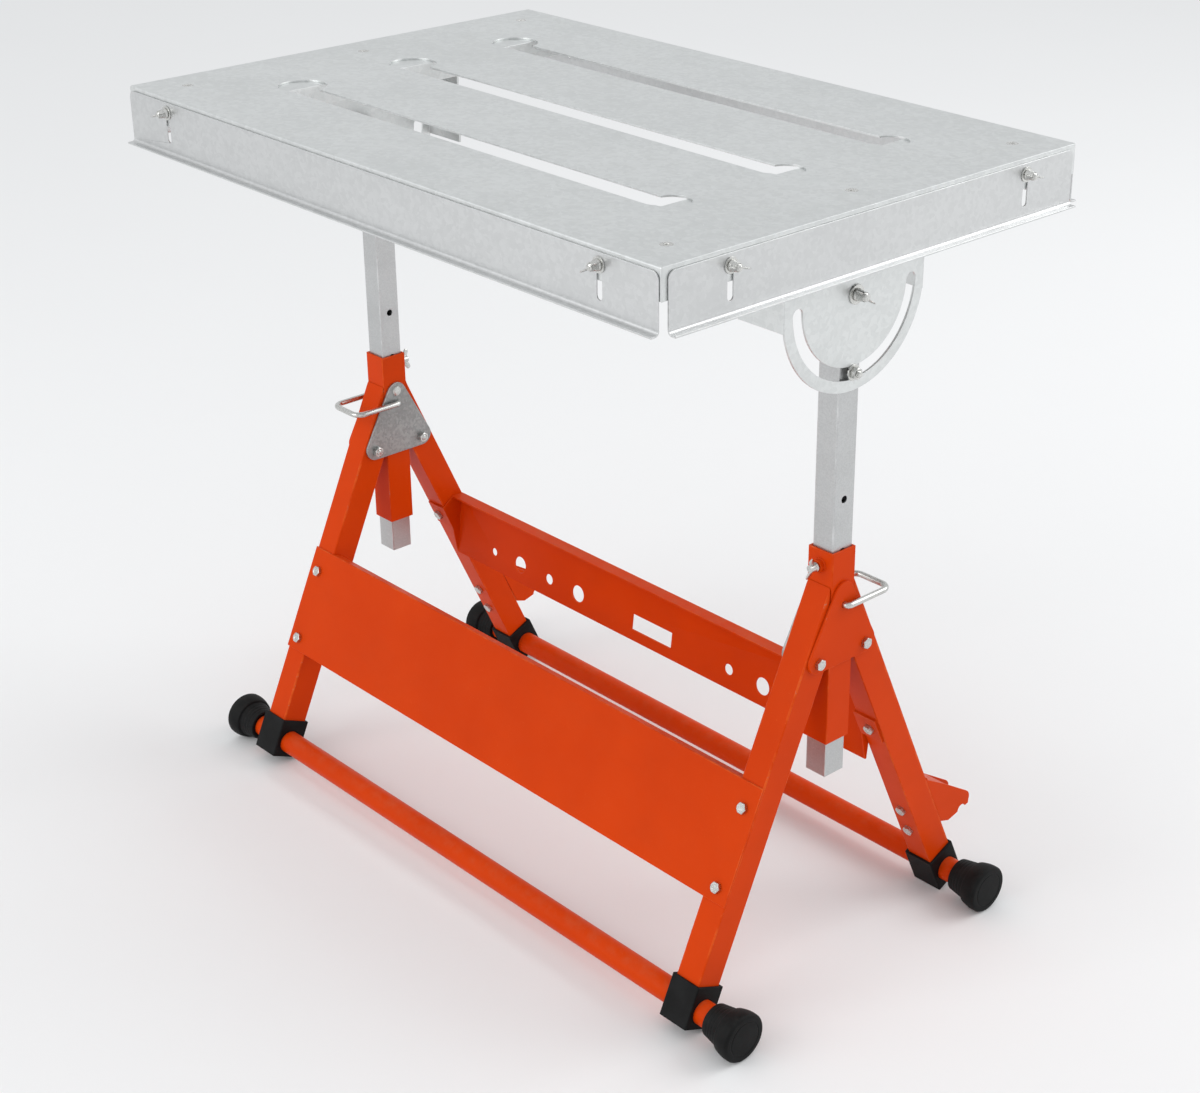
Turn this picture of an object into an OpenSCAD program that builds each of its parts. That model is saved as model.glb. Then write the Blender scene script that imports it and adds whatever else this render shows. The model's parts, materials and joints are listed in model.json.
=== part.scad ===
// Folding welding table: a slotted steel top that tilts on two telescoping posts,
// over two tubular leg frames that fold about hinge bolts in the post sleeves.
// Origin on the floor under the middle of the table, +X along its length, +Z up.

/* [Work surface] */
// Length of the work surface
table_length = 762; // [640:2:920]
// Width of the work surface
table_width = 508; // [424:2:610]
// Height of the work surface above the floor
work_height = 775; // [745:1:900]
// Thickness of the top sheet and its apron
sheet = 2; // [1.5:0.1:2.4]
// Depth of the folded apron
apron_depth = 28; // [24:1:32]
// Distance between the rows of clamping slots
slot_pitch = 135; // [120:1:150]
// Width of each clamping slot
slot_width = 25; // [16:1:28]
// Radius of the large hole at the left end of each slot
large_hole_r = 24; // [18:0.5:28]
// Radius of the small hole at the right end of each slot
small_hole_r = 17.5; // [14:0.5:20]

/* [Guide rails] */
// Height of each guide rail
rail_height = 52; // [48:1:54]
// Thickness of the guide rails
rail_sheet = 1.5; // [1:0.1:1.6]
// Travel of each guide rail up its slots
rail_travel = 26; // [15:0.5:26]
// Width of the foot lip along each guide rail
rail_lip = 9; // [5:0.5:10]

/* [Tilting] */
// Depth of the tilt pivot below the work surface
pivot_drop = 89; // [86:1:96]
// Radius of the round lower edge of each tilt bracket
bracket_r = 88; // [84:1:90]
// Radius of the curved slot that the lock bolt runs in
arc_slot_r = 71; // [68:1:73]
// Width of the curved slot
arc_slot_width = 12; // [9:0.5:13]

/* [Posts and sleeves] */
// Width of the square posts
post_width = 25; // [20:0.1:30]
// Wall of the square posts
post_wall = 1.5; // [1.2:0.1:2]
// Distance between the height holes in the posts
height_pitch = 51.5; // [45:0.5:52]
// Wall of the square sleeves
sleeve_wall = 2; // [1.6:0.1:2.4]
// Height of the sleeve top above the floor
sleeve_top = 444; // [440:1:450]

/* [Leg frames] */
// Height of the leg hinge bolts above the floor
hinge_height = 340; // [325:1:345]
// Distance of each foot bar from the table's middle
foot_offset = 174; // [150:1:205]
// Depth of the square leg tubes
leg_width = 30; // [26:0.5:36]
// Diameter of the foot bars
bar_d = 25; // [20:0.5:26]
// Largest radius of the rubber foot caps
cap_r = 25; // [20:0.5:30]
// Length that the foot caps reach past the work surface at each end
cap_overhang = 27; // [10:1:60]

/* [Hidden] */
$fn = 48;

// Colours
galvanized = [0.80, 0.81, 0.82];
silver = [0.72, 0.72, 0.72];
orange = [0.82, 0.27, 0.04];
bare_zinc = [0.60, 0.60, 0.59];
bolt_zinc = [0.70, 0.70, 0.68];
rubber = [0.08, 0.08, 0.08];

// Clearances and cutting allowances
eps = 0.5;
gap = 0.3;
face_gap = 0.1;
running = 0.06;
sleeve_clearance = 0.5;
hinge_clearance = 1;

// Corner arcs
corner_steps = 8;

// Work surface
half_length = table_length / 2;
half_width = table_width / 2;
apron_bottom = work_height - apron_depth;
slot_shift = -4.5;
hole_shift = 4;
large_hole_x = 117 - half_length;
small_hole_x = half_length - 119;
slot_end_x = half_length - 128.5;
channel_sheet = 2;
channel_lip = 18;
channel_outer_x = half_length - 7;
channel_inner_x = half_length - 119;
channel_half = half_width - 26;
channel_top = work_height - sheet;
channel_bottom = channel_top - channel_sheet;
screw_y = half_width - 42;
screw_r = 3;
screw_head_r = 6;
screw_length = 18;
screw_nut_r = 5.5;
screw_nut_h = 5;

// Rail fixings
rail_bolt_z = work_height - 14;
rail_bolt_x = half_length - 69;
rail_bolt_y = half_width - 72;
rail_bolt_r = 3;
rail_head_r = 5;
rail_head_h = 4;
rail_bolt_reach = 13;
rail_bottom = work_height - 4 - rail_height;
rail_corner = 7;
rail_slot_r = rail_bolt_r + gap;
long_rail_half = half_length - 2;
short_rail_half = half_width - 6;
rail_inner = gap;
rail_outer = rail_inner + rail_sheet;
washer_u = rail_outer + face_gap;
washer_t = 1.2;
washer_r = 7;
nut_u = washer_u + washer_t + face_gap;

// Tilt pivot and lock, counted from the middle of the post
post_x = half_length - 46;
post_half = post_width / 2;
pivot_z = work_height - pivot_drop;
spacer_t = 1.5;
plate_x = post_half + spacer_t;
screw_x = post_x + plate_x - 7;
bracket_sheet = 2.5;
outer_seat = plate_x + bracket_sheet + face_gap;
flange_depth = 54;
flange_foot = 15;
pivot_r = 4;
pivot_head_r = 7.5;
pivot_head_h = 5.3;
pivot_washer_r = 9;
pivot_bolt_end = 30;
pivot_wing_k = 1.15;
lock_z = pivot_z - arc_slot_r;
lock_r = 3;
lock_head_r = 5.8;
lock_head_h = 4;
lock_washer_r = 7.5;
lock_nut_h = 5;
lock_bolt_end = 26;
arc_slot_end = 88;

// Posts, sleeves and the leg hinges beside them
post_top = pivot_z + 14;
pin_z = 390;
post_bottom = 210;
sleeve_half = post_half + sleeve_clearance + sleeve_wall;
sleeve_width = 2 * sleeve_half;
sleeve_bottom = 247;
leg_half = leg_width / 2;
hinge_offset = sleeve_half + leg_half + hinge_clearance;
clamp_z = sleeve_top - 15;
clamp_r = 3;
weld_nut_r = 6.5;
weld_nut_h = 5;
clamp_seat = sleeve_half + weld_nut_h + 1;
clamp_hub_r = 5;
clamp_hub_h = 8;
clamp_wing_k = 0.95;
gusset_sheet = 2.5;
gusset_face = sleeve_half + gusset_sheet;
gusset_corner = 12;
gusset_foot = hinge_offset + 1;
rivet_z = pin_z + 13;
rivet_r = 3;
rivet_head_r = 5.5;
rivet_head_h = 1.5;
hinge_r = 3;
hinge_head_r = 5.8;
hinge_head_h = 4;
hinge_nut_h = 5;

// Lock pins
wire_r = 3;
wire_side = gusset_face + 1.7 + wire_r;
wire_reach = hinge_offset + leg_half + 11;
wire_bend = 4;
wire_end_bend = 10;
tip_end = post_half + 0.8;

// Leg frames, in a frame hung from the hinge bolt with the leg running down -Z
bar_z = cap_r;
spread = atan((foot_offset - hinge_offset) / (hinge_height - bar_z));
leg_reach = (hinge_height - bar_z) / cos(spread);
leg_half_x = sleeve_half - gap;
leg_wall = 1.6;
leg_end = 16;
leg_head = 85;
shoe_wall = 2.8;
shoe_above = 25;
shoe_below = 18;
bar_wall = 2;
bar_half = half_length + 23;
cap_inner_x = half_length - 13;
cap_length = 13 + cap_overhang;
cap_neck_r = 17;
cap_step_r = 20.5;
cap_step = 0.5 * cap_length;
cap_ring_r = 22.8;
cap_flare = cap_length - 7;
cap_round = 3.5;
cap_dome = 0.6;
cap_floor = 3.9;

// Front panel, along the leg
panel_top = 124;
panel_bottom = 242;
panel_sheet = 2;
panel_return = 12;
panel_bolt_rows = [149, 228];
panel_half = post_x + sleeve_half;
panel_inner = post_x - leg_half_x - gap;
fixing_r = 3;
fixing_head_r = 5.8;
fixing_head_h = 4;

// Tool tray between the rear legs
tray_sheet = 2;
tray_half = post_x - leg_half_x - tray_sheet;
tray_top_z = 253;
tray_bottom_z = 181;
tray_back = hinge_offset + (hinge_height - tray_top_z) * tan(spread) + leg_half / cos(spread);
tray_lean = 9;
tray_lip = 15;
tray_tab_w = 28;
tray_tab_rows = [100, 132];
tray_bolt_row = 116;
tray_hole_z = 202;
// Place along the tray and radius of each tool hole
tray_rack = [[-254, 4.5], [-208, 9.5], [-158, 6], [-109, 9.5], [127, 6], [176, 9.5], [225, 4.5]];
// Left end, right end and height of the tray's slot
tray_window = [-20, 41, 18];

// Rear brackets on the rear legs
rear_bracket_rows = [220, 287];
rear_bracket_screws = [244, 276];
rear_bracket_sheet = 2;
// Web slope's run and drop, then the hook's outline points counted from the end of the slope
rear_bracket_web = [32, -19];
rear_bracket_toe = [12, -4];
rear_bracket_tip = [38, -38];
rear_bracket_nose = [30, -30];
rear_bracket_nose_r = 9;
rear_bracket_eye = [28, -42];
rear_bracket_eye_r = 6;

function edge_normal(p, q) = atan2(q.y - p.y, q.x - p.x) - 90;

// Points along an arc about c, from angle a0 to angle a1
function arc(c, r, a0, a1) = [for (k = [0:corner_steps])
    let (a = a0 + (a1 - a0) * k / corner_steps) c + r * [cos(a), sin(a)]];

// Outline of a counter-clockwise convex polygon grown by r, with round corners
function round_outline(p, r) = [for (i = [0:len(p) - 1])
    let (before = p[(i + len(p) - 1) % len(p)], after = p[(i + 1) % len(p)])
    let (a = edge_normal(before, p[i]), b = edge_normal(p[i], after))
    each arc(p[i], r, a, a + (b - a + 720) % 360)];

// Point on a rear leg: distance s down the leg, offset d behind its middle, as (y, z)
function leg_point(s, d) = [
    hinge_offset + s * sin(spread) + d * cos(spread),
    hinge_height - s * cos(spread) + d * sin(spread)];

module mirrored_x() {
    children();
    mirror([1, 0, 0]) children();
}
module left_end() rotate([0, 0, 180]) children();
module at_post() translate([post_x, 0, 0]) children();

// Cylinder along X from x0 to x1 at height z
module rod_x(x0, x1, r, y = 0, z = 0, sides = $fn)
    translate([x0, y, z]) rotate([0, 90, 0]) cylinder(r = r, h = x1 - x0, $fn = sides);

// Ring along X from x0 to x1 at height z
module ring_x(x0, x1, r, bore, y = 0, z = 0, sides = $fn) difference() {
    rod_x(x0, x1, r, y, z, sides);
    rod_x(x0 - eps, x1 + eps, bore, y, z);
}

// Outline in (y, z) extruded along X from x0 to x1
module slab_x(x0, x1) translate([x0, 0, 0]) rotate([90, 0, 90]) linear_extrude(x1 - x0) children();

// Put children on a side of the table: x along it, y up, z outward from the apron
module on_side(side) {
    turn = side == "front" ? 0 : side == "right" ? 90 : side == "rear" ? 180 : -90;
    reach = side == "front" || side == "rear" ? half_width : half_length;
    rotate([0, 0, turn]) translate([0, -reach, 0]) rotate([90, 0, 0]) children();
}
module at_rail_bolts() for (side = ["front", "right", "rear", "left"]) {
    along = side == "front" || side == "rear" ? rail_bolt_x : rail_bolt_y;
    for (x = [-along, along]) on_side(side) translate([x, rail_bolt_z, 0]) children();
}

// ---- wing nuts and wing bolts, along +Z from the seat ----

module wings(k) {
    wing = round_outline([[3.5, 3.2], [10.8, 8.6], [10.2, 10.6], [3.5, 6.5]], 2.2);
    for (side = [0, 180]) rotate([90, 0, side]) translate([0, 0, -k]) linear_extrude(2 * k)
        scale(k) polygon(wing);
}
module wing_nut(bolt_r, k) {
    difference() {
        union() {
            cylinder(r = 5 * k, h = 8 * k);
            wings(k);
        }
        translate([0, 0, -eps]) cylinder(r = bolt_r + running, h = 16 * k);
    }
}

// ---- work surface ----

module keyhole() {
    translate([large_hole_x, slot_shift - slot_width / 2])
        square([slot_end_x - large_hole_x, slot_width]);
    translate([slot_end_x, slot_shift]) circle(r = slot_width / 2);
    translate([large_hole_x, hole_shift]) circle(r = large_hole_r);
    translate([small_hole_x, hole_shift]) circle(r = small_hole_r);
}
module at_top_screws() for (x = [-screw_x, screw_x], y = [-screw_y, 0, screw_y])
    translate([x, y, work_height]) children();

module tabletop() color(galvanized) difference() {
    translate([-half_length, -half_width, apron_bottom])
        cube([table_length, table_width, apron_depth]);
    translate([sheet - half_length, sheet - half_width, apron_bottom - eps])
        cube([table_length - 2 * sheet, table_width - 2 * sheet, apron_depth - sheet + eps]);
    for (row = [-slot_pitch, 0, slot_pitch]) translate([0, row, channel_top - eps])
        linear_extrude(sheet + 2 * eps) keyhole();
    at_top_screws() {
        translate([0, 0, -sheet]) cylinder(r1 = screw_r + face_gap, r2 = screw_head_r, h = sheet + 0.01);
        translate([0, 0, -sheet - eps]) cylinder(r = screw_r + face_gap, h = 2 * eps);
    }
    at_rail_bolts() translate([0, 0, -sheet - eps])
        cylinder(r = rail_bolt_r + face_gap, h = sheet + 2 * eps);
}

module top_screws() color(bolt_zinc) at_top_screws() {
    translate([0, 0, -sheet])
        cylinder(r1 = screw_r, r2 = screw_head_r - gap, h = sheet - face_gap);
    translate([0, 0, -screw_length]) cylinder(r = screw_r, h = screw_length - sheet);
}

module top_screw_nuts() color(bolt_zinc)
    for (x = [-screw_x, screw_x], y = [-screw_y, 0, screw_y]) {
        seat = y == 0 ? channel_bottom - bracket_sheet : channel_bottom;
        translate([x, y, seat - screw_nut_h]) difference() {
            cylinder(r = screw_nut_r, h = screw_nut_h, $fn = 6);
            translate([0, 0, -eps]) cylinder(r = screw_r + face_gap, h = screw_nut_h + 2 * eps);
        }
    }

module cross_channels() color(galvanized) mirrored_x() difference() {
    translate([channel_inner_x, -channel_half, channel_bottom - channel_lip])
        cube([channel_outer_x - channel_inner_x, 2 * channel_half, channel_lip + channel_sheet]);
    translate([channel_inner_x + channel_sheet, -channel_half - eps, channel_bottom - channel_lip - eps])
        cube([channel_outer_x - channel_inner_x - 2 * channel_sheet, 2 * channel_half + 2 * eps,
            channel_lip + eps]);
    at_top_screws() translate([0, 0, -sheet - channel_sheet - eps])
        cylinder(r = screw_r + face_gap, h = channel_sheet + 2 * eps);
}

// ---- guide rails ----

// Section of a rail: outward from the apron, and up from its foot
module rail_section() {
    bend = 3 * rail_sheet;
    foot = [rail_inner + bend, bend];
    polygon([
        [rail_inner, rail_height],
        each arc(foot, bend, 180, 270),
        [rail_inner + rail_lip, 0],
        [rail_inner + rail_lip, rail_sheet],
        each arc(foot, bend - rail_sheet, 270, 180),
        [rail_outer, rail_height]]);
}
// Face of a rail, with its top corners rounded
module rail_face(half) polygon([
    [-half, 0],
    [half, 0],
    each arc([half - rail_corner, rail_height - rail_corner], rail_corner, 0, 90),
    each arc([rail_corner - half, rail_height - rail_corner], rail_corner, 90, 180)]);

module guide_rail(half, bolt_along) color(galvanized) translate([0, rail_bottom, 0]) difference() {
    intersection() {
        translate([half, 0, 0]) rotate([0, -90, 0]) linear_extrude(2 * half) rail_section();
        linear_extrude(rail_inner + rail_lip + eps) rail_face(half);
    }
    for (x = [-bolt_along, bolt_along]) translate([x, rail_bolt_z - rail_bottom, 0])
        linear_extrude(rail_outer + eps) {
            circle(r = rail_slot_r);
            translate([0, -rail_travel]) circle(r = rail_slot_r);
            translate([-rail_slot_r, -rail_travel]) square([2 * rail_slot_r, rail_travel]);
        }
}
module guide_rail_front() on_side("front") guide_rail(long_rail_half, rail_bolt_x);
module guide_rail_rear() on_side("rear") guide_rail(long_rail_half, rail_bolt_x);
module guide_rail_left() on_side("left") guide_rail(short_rail_half, rail_bolt_y);
module guide_rail_right() on_side("right") guide_rail(short_rail_half, rail_bolt_y);

module rail_bolts() color(bolt_zinc) at_rail_bolts() {
    translate([0, 0, -sheet - rail_head_h]) cylinder(r = rail_head_r, h = rail_head_h, $fn = 6);
    translate([0, 0, -sheet]) cylinder(r = rail_bolt_r, h = sheet + rail_bolt_reach);
}
module rail_washers() color(bolt_zinc) at_rail_bolts() translate([0, 0, washer_u]) difference() {
    cylinder(r = washer_r, h = washer_t);
    translate([0, 0, -eps]) cylinder(r = rail_bolt_r + running, h = washer_t + 2 * eps);
}

module rail_wing_nut(side, along, turn) color(bolt_zinc)
    on_side(side) translate([along, rail_bolt_z, nut_u]) rotate(turn) wing_nut(rail_bolt_r, 1);
module rail_wing_nut_front_left() rail_wing_nut("front", -rail_bolt_x, 20);
module rail_wing_nut_front_right() rail_wing_nut("front", rail_bolt_x, 33);
module rail_wing_nut_rear_left() rail_wing_nut("rear", rail_bolt_x, 35);
module rail_wing_nut_rear_right() rail_wing_nut("rear", -rail_bolt_x, 0);
module rail_wing_nut_left_front() rail_wing_nut("left", rail_bolt_y, -25);
module rail_wing_nut_left_rear() rail_wing_nut("left", -rail_bolt_y, 15);
module rail_wing_nut_right_front() rail_wing_nut("right", -rail_bolt_y, -14);
module rail_wing_nut_right_rear() rail_wing_nut("right", rail_bolt_y, -15);

// ---- tilt brackets, right-hand end; x counted from the middle of the post ----

module arc_slot() {
    half = arc_slot_width / 2;
    far = 2 * bracket_r;
    intersection() {
        difference() {
            circle(r = arc_slot_r + half);
            circle(r = arc_slot_r - half);
        }
        polygon([[0, 0], far * [-sin(arc_slot_end), -cos(arc_slot_end)], [-far, -far], [far, -far],
            far * [sin(arc_slot_end), -cos(arc_slot_end)]]);
    }
    for (side = [-1, 1]) translate(arc_slot_r * [side * sin(arc_slot_end), -cos(arc_slot_end)])
        circle(r = half);
}
module tilt_bracket() {
    outer = plate_x + bracket_sheet;
    difference() {
        union() {
            slab_x(plate_x, outer) translate([0, pivot_z]) intersection() {
                circle(r = bracket_r, $fn = 96);
                translate([-bracket_r, -bracket_r]) square([2 * bracket_r, bracket_r]);
            }
            translate([plate_x, -bracket_r, pivot_z])
                cube([bracket_sheet, 2 * bracket_r, channel_bottom - pivot_z]);
            for (y = [-bracket_r, bracket_r - bracket_sheet])
                translate([outer - flange_depth, y, pivot_z - flange_foot])
                    cube([flange_depth, bracket_sheet, channel_bottom - pivot_z + flange_foot]);
            translate([outer - flange_depth, -bracket_r, channel_bottom - bracket_sheet])
                cube([flange_depth, 2 * bracket_r, bracket_sheet]);
        }
        slab_x(plate_x - eps, outer + eps) translate([0, pivot_z]) {
            circle(r = pivot_r + running);
            arc_slot();
        }
        translate([screw_x - post_x, 0, channel_bottom - bracket_sheet - eps])
            cylinder(r = screw_r + face_gap, h = bracket_sheet + 2 * eps);
    }
}
module tilt_bracket_right() color(galvanized) at_post() tilt_bracket();
module tilt_bracket_left() left_end() tilt_bracket_right();

// ---- posts and their bolts ----

module post() difference() {
    translate([-post_half, -post_half, post_bottom])
        cube([post_width, post_width, post_top - post_bottom]);
    translate([post_wall - post_half, post_wall - post_half, post_bottom - eps])
        cube([post_width - 2 * post_wall, post_width - 2 * post_wall, post_top - post_bottom + 2 * eps]);
    for (k = [0:2]) rod_x(-post_width, post_width, wire_r + eps, z = pin_z + k * height_pitch);
    rod_x(-post_width, post_width, pivot_r + running, z = pivot_z);
    rod_x(-post_width, post_width, lock_r + running, z = pivot_z - arc_slot_r);
}
module post_right() color(silver) at_post() post();
module post_left() left_end() post_right();

module pivot_bolt() {
    rod_x(-post_half - pivot_head_h, -post_half, pivot_head_r, z = pivot_z, sides = 6);
    rod_x(-post_half, pivot_bolt_end, pivot_r, z = pivot_z);
}
module pivot_bolt_right() color(bolt_zinc) at_post() pivot_bolt();
module pivot_bolt_left() left_end() pivot_bolt_right();

module pivot_washers() {
    ring_x(post_half, plate_x - face_gap, pivot_washer_r, pivot_r + running, z = pivot_z);
    ring_x(outer_seat, outer_seat + spacer_t, pivot_washer_r, pivot_r + running, z = pivot_z);
}
module pivot_washers_right() color(bolt_zinc) at_post() pivot_washers();
module pivot_washers_left() left_end() pivot_washers_right();

module pivot_wing_nut_right() color(bolt_zinc) at_post()
    translate([outer_seat + spacer_t + face_gap, 0, pivot_z])
    rotate([0, 90, 0]) rotate(52) wing_nut(pivot_r, pivot_wing_k);
module pivot_wing_nut_left() left_end() pivot_wing_nut_right();

module lock_bolt() {
    rod_x(-post_half - lock_head_h, -post_half, lock_head_r, z = lock_z, sides = 6);
    rod_x(-post_half, lock_bolt_end, lock_r, z = lock_z);
}
module lock_bolt_right() color(bolt_zinc) at_post() lock_bolt();
module lock_bolt_left() left_end() lock_bolt_right();

module lock_nut() {
    ring_x(outer_seat, outer_seat + spacer_t, lock_washer_r, lock_r + running, z = lock_z);
    ring_x(outer_seat + spacer_t, outer_seat + spacer_t + lock_nut_h, lock_head_r,
        lock_r + running, z = lock_z, sides = 6);
}
module lock_nut_right() color(bolt_zinc) at_post() lock_nut();
module lock_nut_left() left_end() lock_nut_right();

// ---- sleeves and gussets ----

module sleeve() difference() {
    union() {
        difference() {
            translate([-sleeve_half, -sleeve_half, sleeve_bottom])
                cube([sleeve_width, sleeve_width, sleeve_top - sleeve_bottom]);
            translate([sleeve_wall - sleeve_half, sleeve_wall - sleeve_half, sleeve_bottom - eps])
                cube([sleeve_width - 2 * sleeve_wall, sleeve_width - 2 * sleeve_wall,
                    sleeve_top - sleeve_bottom + 2 * eps]);
        }
        translate([0, -sleeve_half, clamp_z]) rotate([90, 0, 0])
            cylinder(r = weld_nut_r, h = weld_nut_h, $fn = 6);
    }
    translate([0, -sleeve_half + sleeve_wall + eps, clamp_z]) rotate([90, 0, 0])
        cylinder(r = clamp_r + running, h = weld_nut_h + sleeve_wall + 2 * eps);
    rod_x(-sleeve_width, sleeve_width, wire_r + running, z = pin_z);
    rod_x(-sleeve_width, 0, rivet_r + running, z = rivet_z);
}
module sleeve_right() color(orange) at_post() sleeve();
module sleeve_left() left_end() sleeve_right();

module sleeve_wing_bolt_right() color(bolt_zinc) at_post() {
    tip = post_half + gap;
    translate([0, -tip, clamp_z]) rotate([90, 0, 0])
        cylinder(r = clamp_r, h = clamp_seat - tip + eps);
    translate([0, -clamp_seat, clamp_z]) rotate([90, 0, 0]) rotate(78) {
        cylinder(r = clamp_hub_r, h = clamp_hub_h);
        wings(clamp_wing_k);
    }
}
module sleeve_wing_bolt_left() left_end() sleeve_wing_bolt_right();

module gusset(x0) difference() {
    slab_x(x0, x0 + gusset_sheet) polygon(round_outline([
        [-gusset_foot, hinge_height + 2],
        [gusset_foot, hinge_height + 2],
        [0, rivet_z - 2]], gusset_corner));
    for (y = [-hinge_offset, hinge_offset])
        rod_x(x0 - eps, x0 + gusset_sheet + eps, hinge_r + running, y, hinge_height);
    rod_x(x0 - eps, x0 + gusset_sheet + eps, wire_r + running, z = pin_z);
    if (x0 < 0) rod_x(x0 - eps, x0 + gusset_sheet + eps, rivet_r + running, z = rivet_z);
}
module both_ends() {
    at_post() children();
    left_end() at_post() children();
}
module inner_gussets() color(bare_zinc) both_ends() gusset(-gusset_face);
module outer_gussets() color(orange) both_ends() gusset(sleeve_half);

module gusset_rivets() color(bolt_zinc) both_ends() {
    rod_x(-gusset_face - rivet_head_h, -gusset_face, rivet_head_r, z = rivet_z);
    rod_x(-gusset_face, -post_half - gap * 2, rivet_r, z = rivet_z);
}
module leg_hinge_bolts() color(bolt_zinc) both_ends() for (y = [-hinge_offset, hinge_offset]) {
    rod_x(gusset_face, gusset_face + hinge_head_h, hinge_head_r, y, hinge_height, 6);
    rod_x(-gusset_face - hinge_nut_h - 1, gusset_face, hinge_r, y, hinge_height);
}
module leg_hinge_nuts() color(bolt_zinc) both_ends() for (y = [-hinge_offset, hinge_offset])
    ring_x(-gusset_face - hinge_nut_h, -gusset_face, hinge_head_r, hinge_r + running, y,
        hinge_height, 6);

// ---- lock pins: one bent wire, its two tips in the gussets and the sleeve ----

module wire_bend(c, r, start) translate([c.x, c.y, pin_z]) rotate([0, 0, start])
    rotate_extrude(angle = 90) translate([r, 0]) circle(r = wire_r, $fn = 32);
module wire_along_y(x, y0, y1) translate([x, y0, pin_z]) rotate([-90, 0, 0])
    cylinder(r = wire_r, h = y1 - y0, $fn = 32);
module wire_along_x(x0, x1, y) rod_x(x0, x1, wire_r, y, pin_z, 32);
module lock_pin() mirrored_x() {
    wire_along_x(tip_end, wire_side - wire_bend, 0);
    wire_bend([wire_side - wire_bend, wire_bend], wire_bend, -90);
    wire_along_y(wire_side, wire_bend, wire_reach - wire_end_bend);
    wire_bend([wire_side - wire_end_bend, wire_reach - wire_end_bend], wire_end_bend, 0);
    wire_along_x(0, wire_side - wire_end_bend, wire_reach);
}
module lock_pin_right() color(bolt_zinc) at_post() lock_pin();
module lock_pin_left() left_end() lock_pin_right();

// ---- leg frames; in_leg puts the leg's hinge at the origin, the leg down -Z ----

module in_leg() translate([0, hinge_offset, hinge_height]) rotate([spread, 0, 0]) children();
module at_front() mirror([0, 1, 0]) children();
module at_both_legs() for (x = [-post_x, post_x]) translate([x, 0, 0]) children();
// Cylinder along the leg frame's Y from y0 to y1, s down the leg
module rod_leg(y0, y1, r, s, sides = $fn)
    translate([0, y0, -s]) rotate([-90, 0, 0]) cylinder(r = r, h = y1 - y0, $fn = sides);
// Bolt through the leg's face, head outside: side is 1 for the outer face, -1 for the inner
module face_bolt(s, side, seat, shank) {
    rod_leg(min(side * seat, side * (seat + fixing_head_h)),
        max(side * seat, side * (seat + fixing_head_h)), fixing_head_r, s, 6);
    rod_leg(min(side * seat, side * (seat - shank)), max(side * seat, side * (seat - shank)),
        fixing_r, s);
}

module leg_tube() difference() {
    in_leg() difference() {
        translate([-leg_half_x, -leg_half, -leg_reach - leg_end])
            cube([2 * leg_half_x, leg_width, leg_reach + leg_end + leg_head]);
        translate([leg_wall - leg_half_x, leg_wall - leg_half, -leg_reach - leg_end - eps])
            cube([2 * (leg_half_x - leg_wall), leg_width - 2 * leg_wall,
                leg_reach + leg_end + leg_head + 2 * eps]);
        rod_x(-leg_width, leg_width, hinge_r + running);
        rod_x(-leg_width, leg_width, bar_d / 2 + running, z = -leg_reach);
    }
    translate([-leg_width, -leg_reach, sleeve_bottom - leg_reach])
        cube([2 * leg_width, leg_reach + sleeve_half + eps, 2 * leg_reach]);
    translate([-leg_width, 0, clamp_z - weld_nut_r - 1]) cube(2 * leg_width);
}
module front_leg() at_front() difference() {
    leg_tube();
    in_leg() for (s = panel_bolt_rows) rod_leg(0, leg_width, fixing_r + running, s);
}
module front_leg_left() color(orange) translate([-post_x, 0, 0]) front_leg();
module front_leg_right() color(orange) translate([post_x, 0, 0]) front_leg();

module rear_leg() difference() {
    leg_tube();
    in_leg() rod_leg(-leg_width, 0, fixing_r + running, tray_bolt_row);
    in_leg() for (s = rear_bracket_screws) rod_leg(-leg_width, leg_width, fixing_r + running, s);
}
module rear_leg_left() color(orange) translate([-post_x, 0, 0]) rear_leg();
module rear_leg_right() color(orange) translate([post_x, 0, 0]) rear_leg();

module front_panel() color(orange) at_front() in_leg() difference() {
    union() {
        translate([-panel_half, leg_half, -panel_bottom])
            cube([2 * panel_half, panel_sheet, panel_bottom - panel_top]);
        for (s = [panel_top + panel_sheet, panel_bottom])
            translate([-panel_inner, leg_half - panel_return, -s])
                cube([2 * panel_inner, panel_return + eps, panel_sheet]);
    }
    at_both_legs() for (s = panel_bolt_rows) rod_leg(0, leg_width, fixing_r + running, s);
}
module panel_bolts() color(bolt_zinc) at_front() in_leg() at_both_legs()
    for (s = panel_bolt_rows) face_bolt(s, 1, leg_half + panel_sheet, panel_sheet + 2 * leg_wall);

module foot_bar() translate([0, foot_offset, bar_z])
    ring_x(-bar_half, bar_half, bar_d / 2, bar_d / 2 - bar_wall);
module front_foot_bar() color(orange) at_front() foot_bar();
module rear_foot_bar() color(orange) foot_bar();

module foot_shoes() in_leg() at_both_legs() difference() {
    translate([-leg_half_x - shoe_wall, -leg_half - shoe_wall, -leg_reach - shoe_below])
        cube([2 * (leg_half_x + shoe_wall), leg_width + 2 * shoe_wall, shoe_above + shoe_below]);
    translate([-leg_half_x - running, -leg_half - running, -leg_reach - leg_end - running])
        cube([2 * (leg_half_x + running), leg_width + 2 * running, leg_reach]);
    rod_x(-2 * leg_width, 2 * leg_width, bar_d / 2 + running, z = -leg_reach);
}
module front_foot_shoes() color(rubber) at_front() foot_shoes();
module rear_foot_shoes() color(rubber) foot_shoes();

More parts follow.
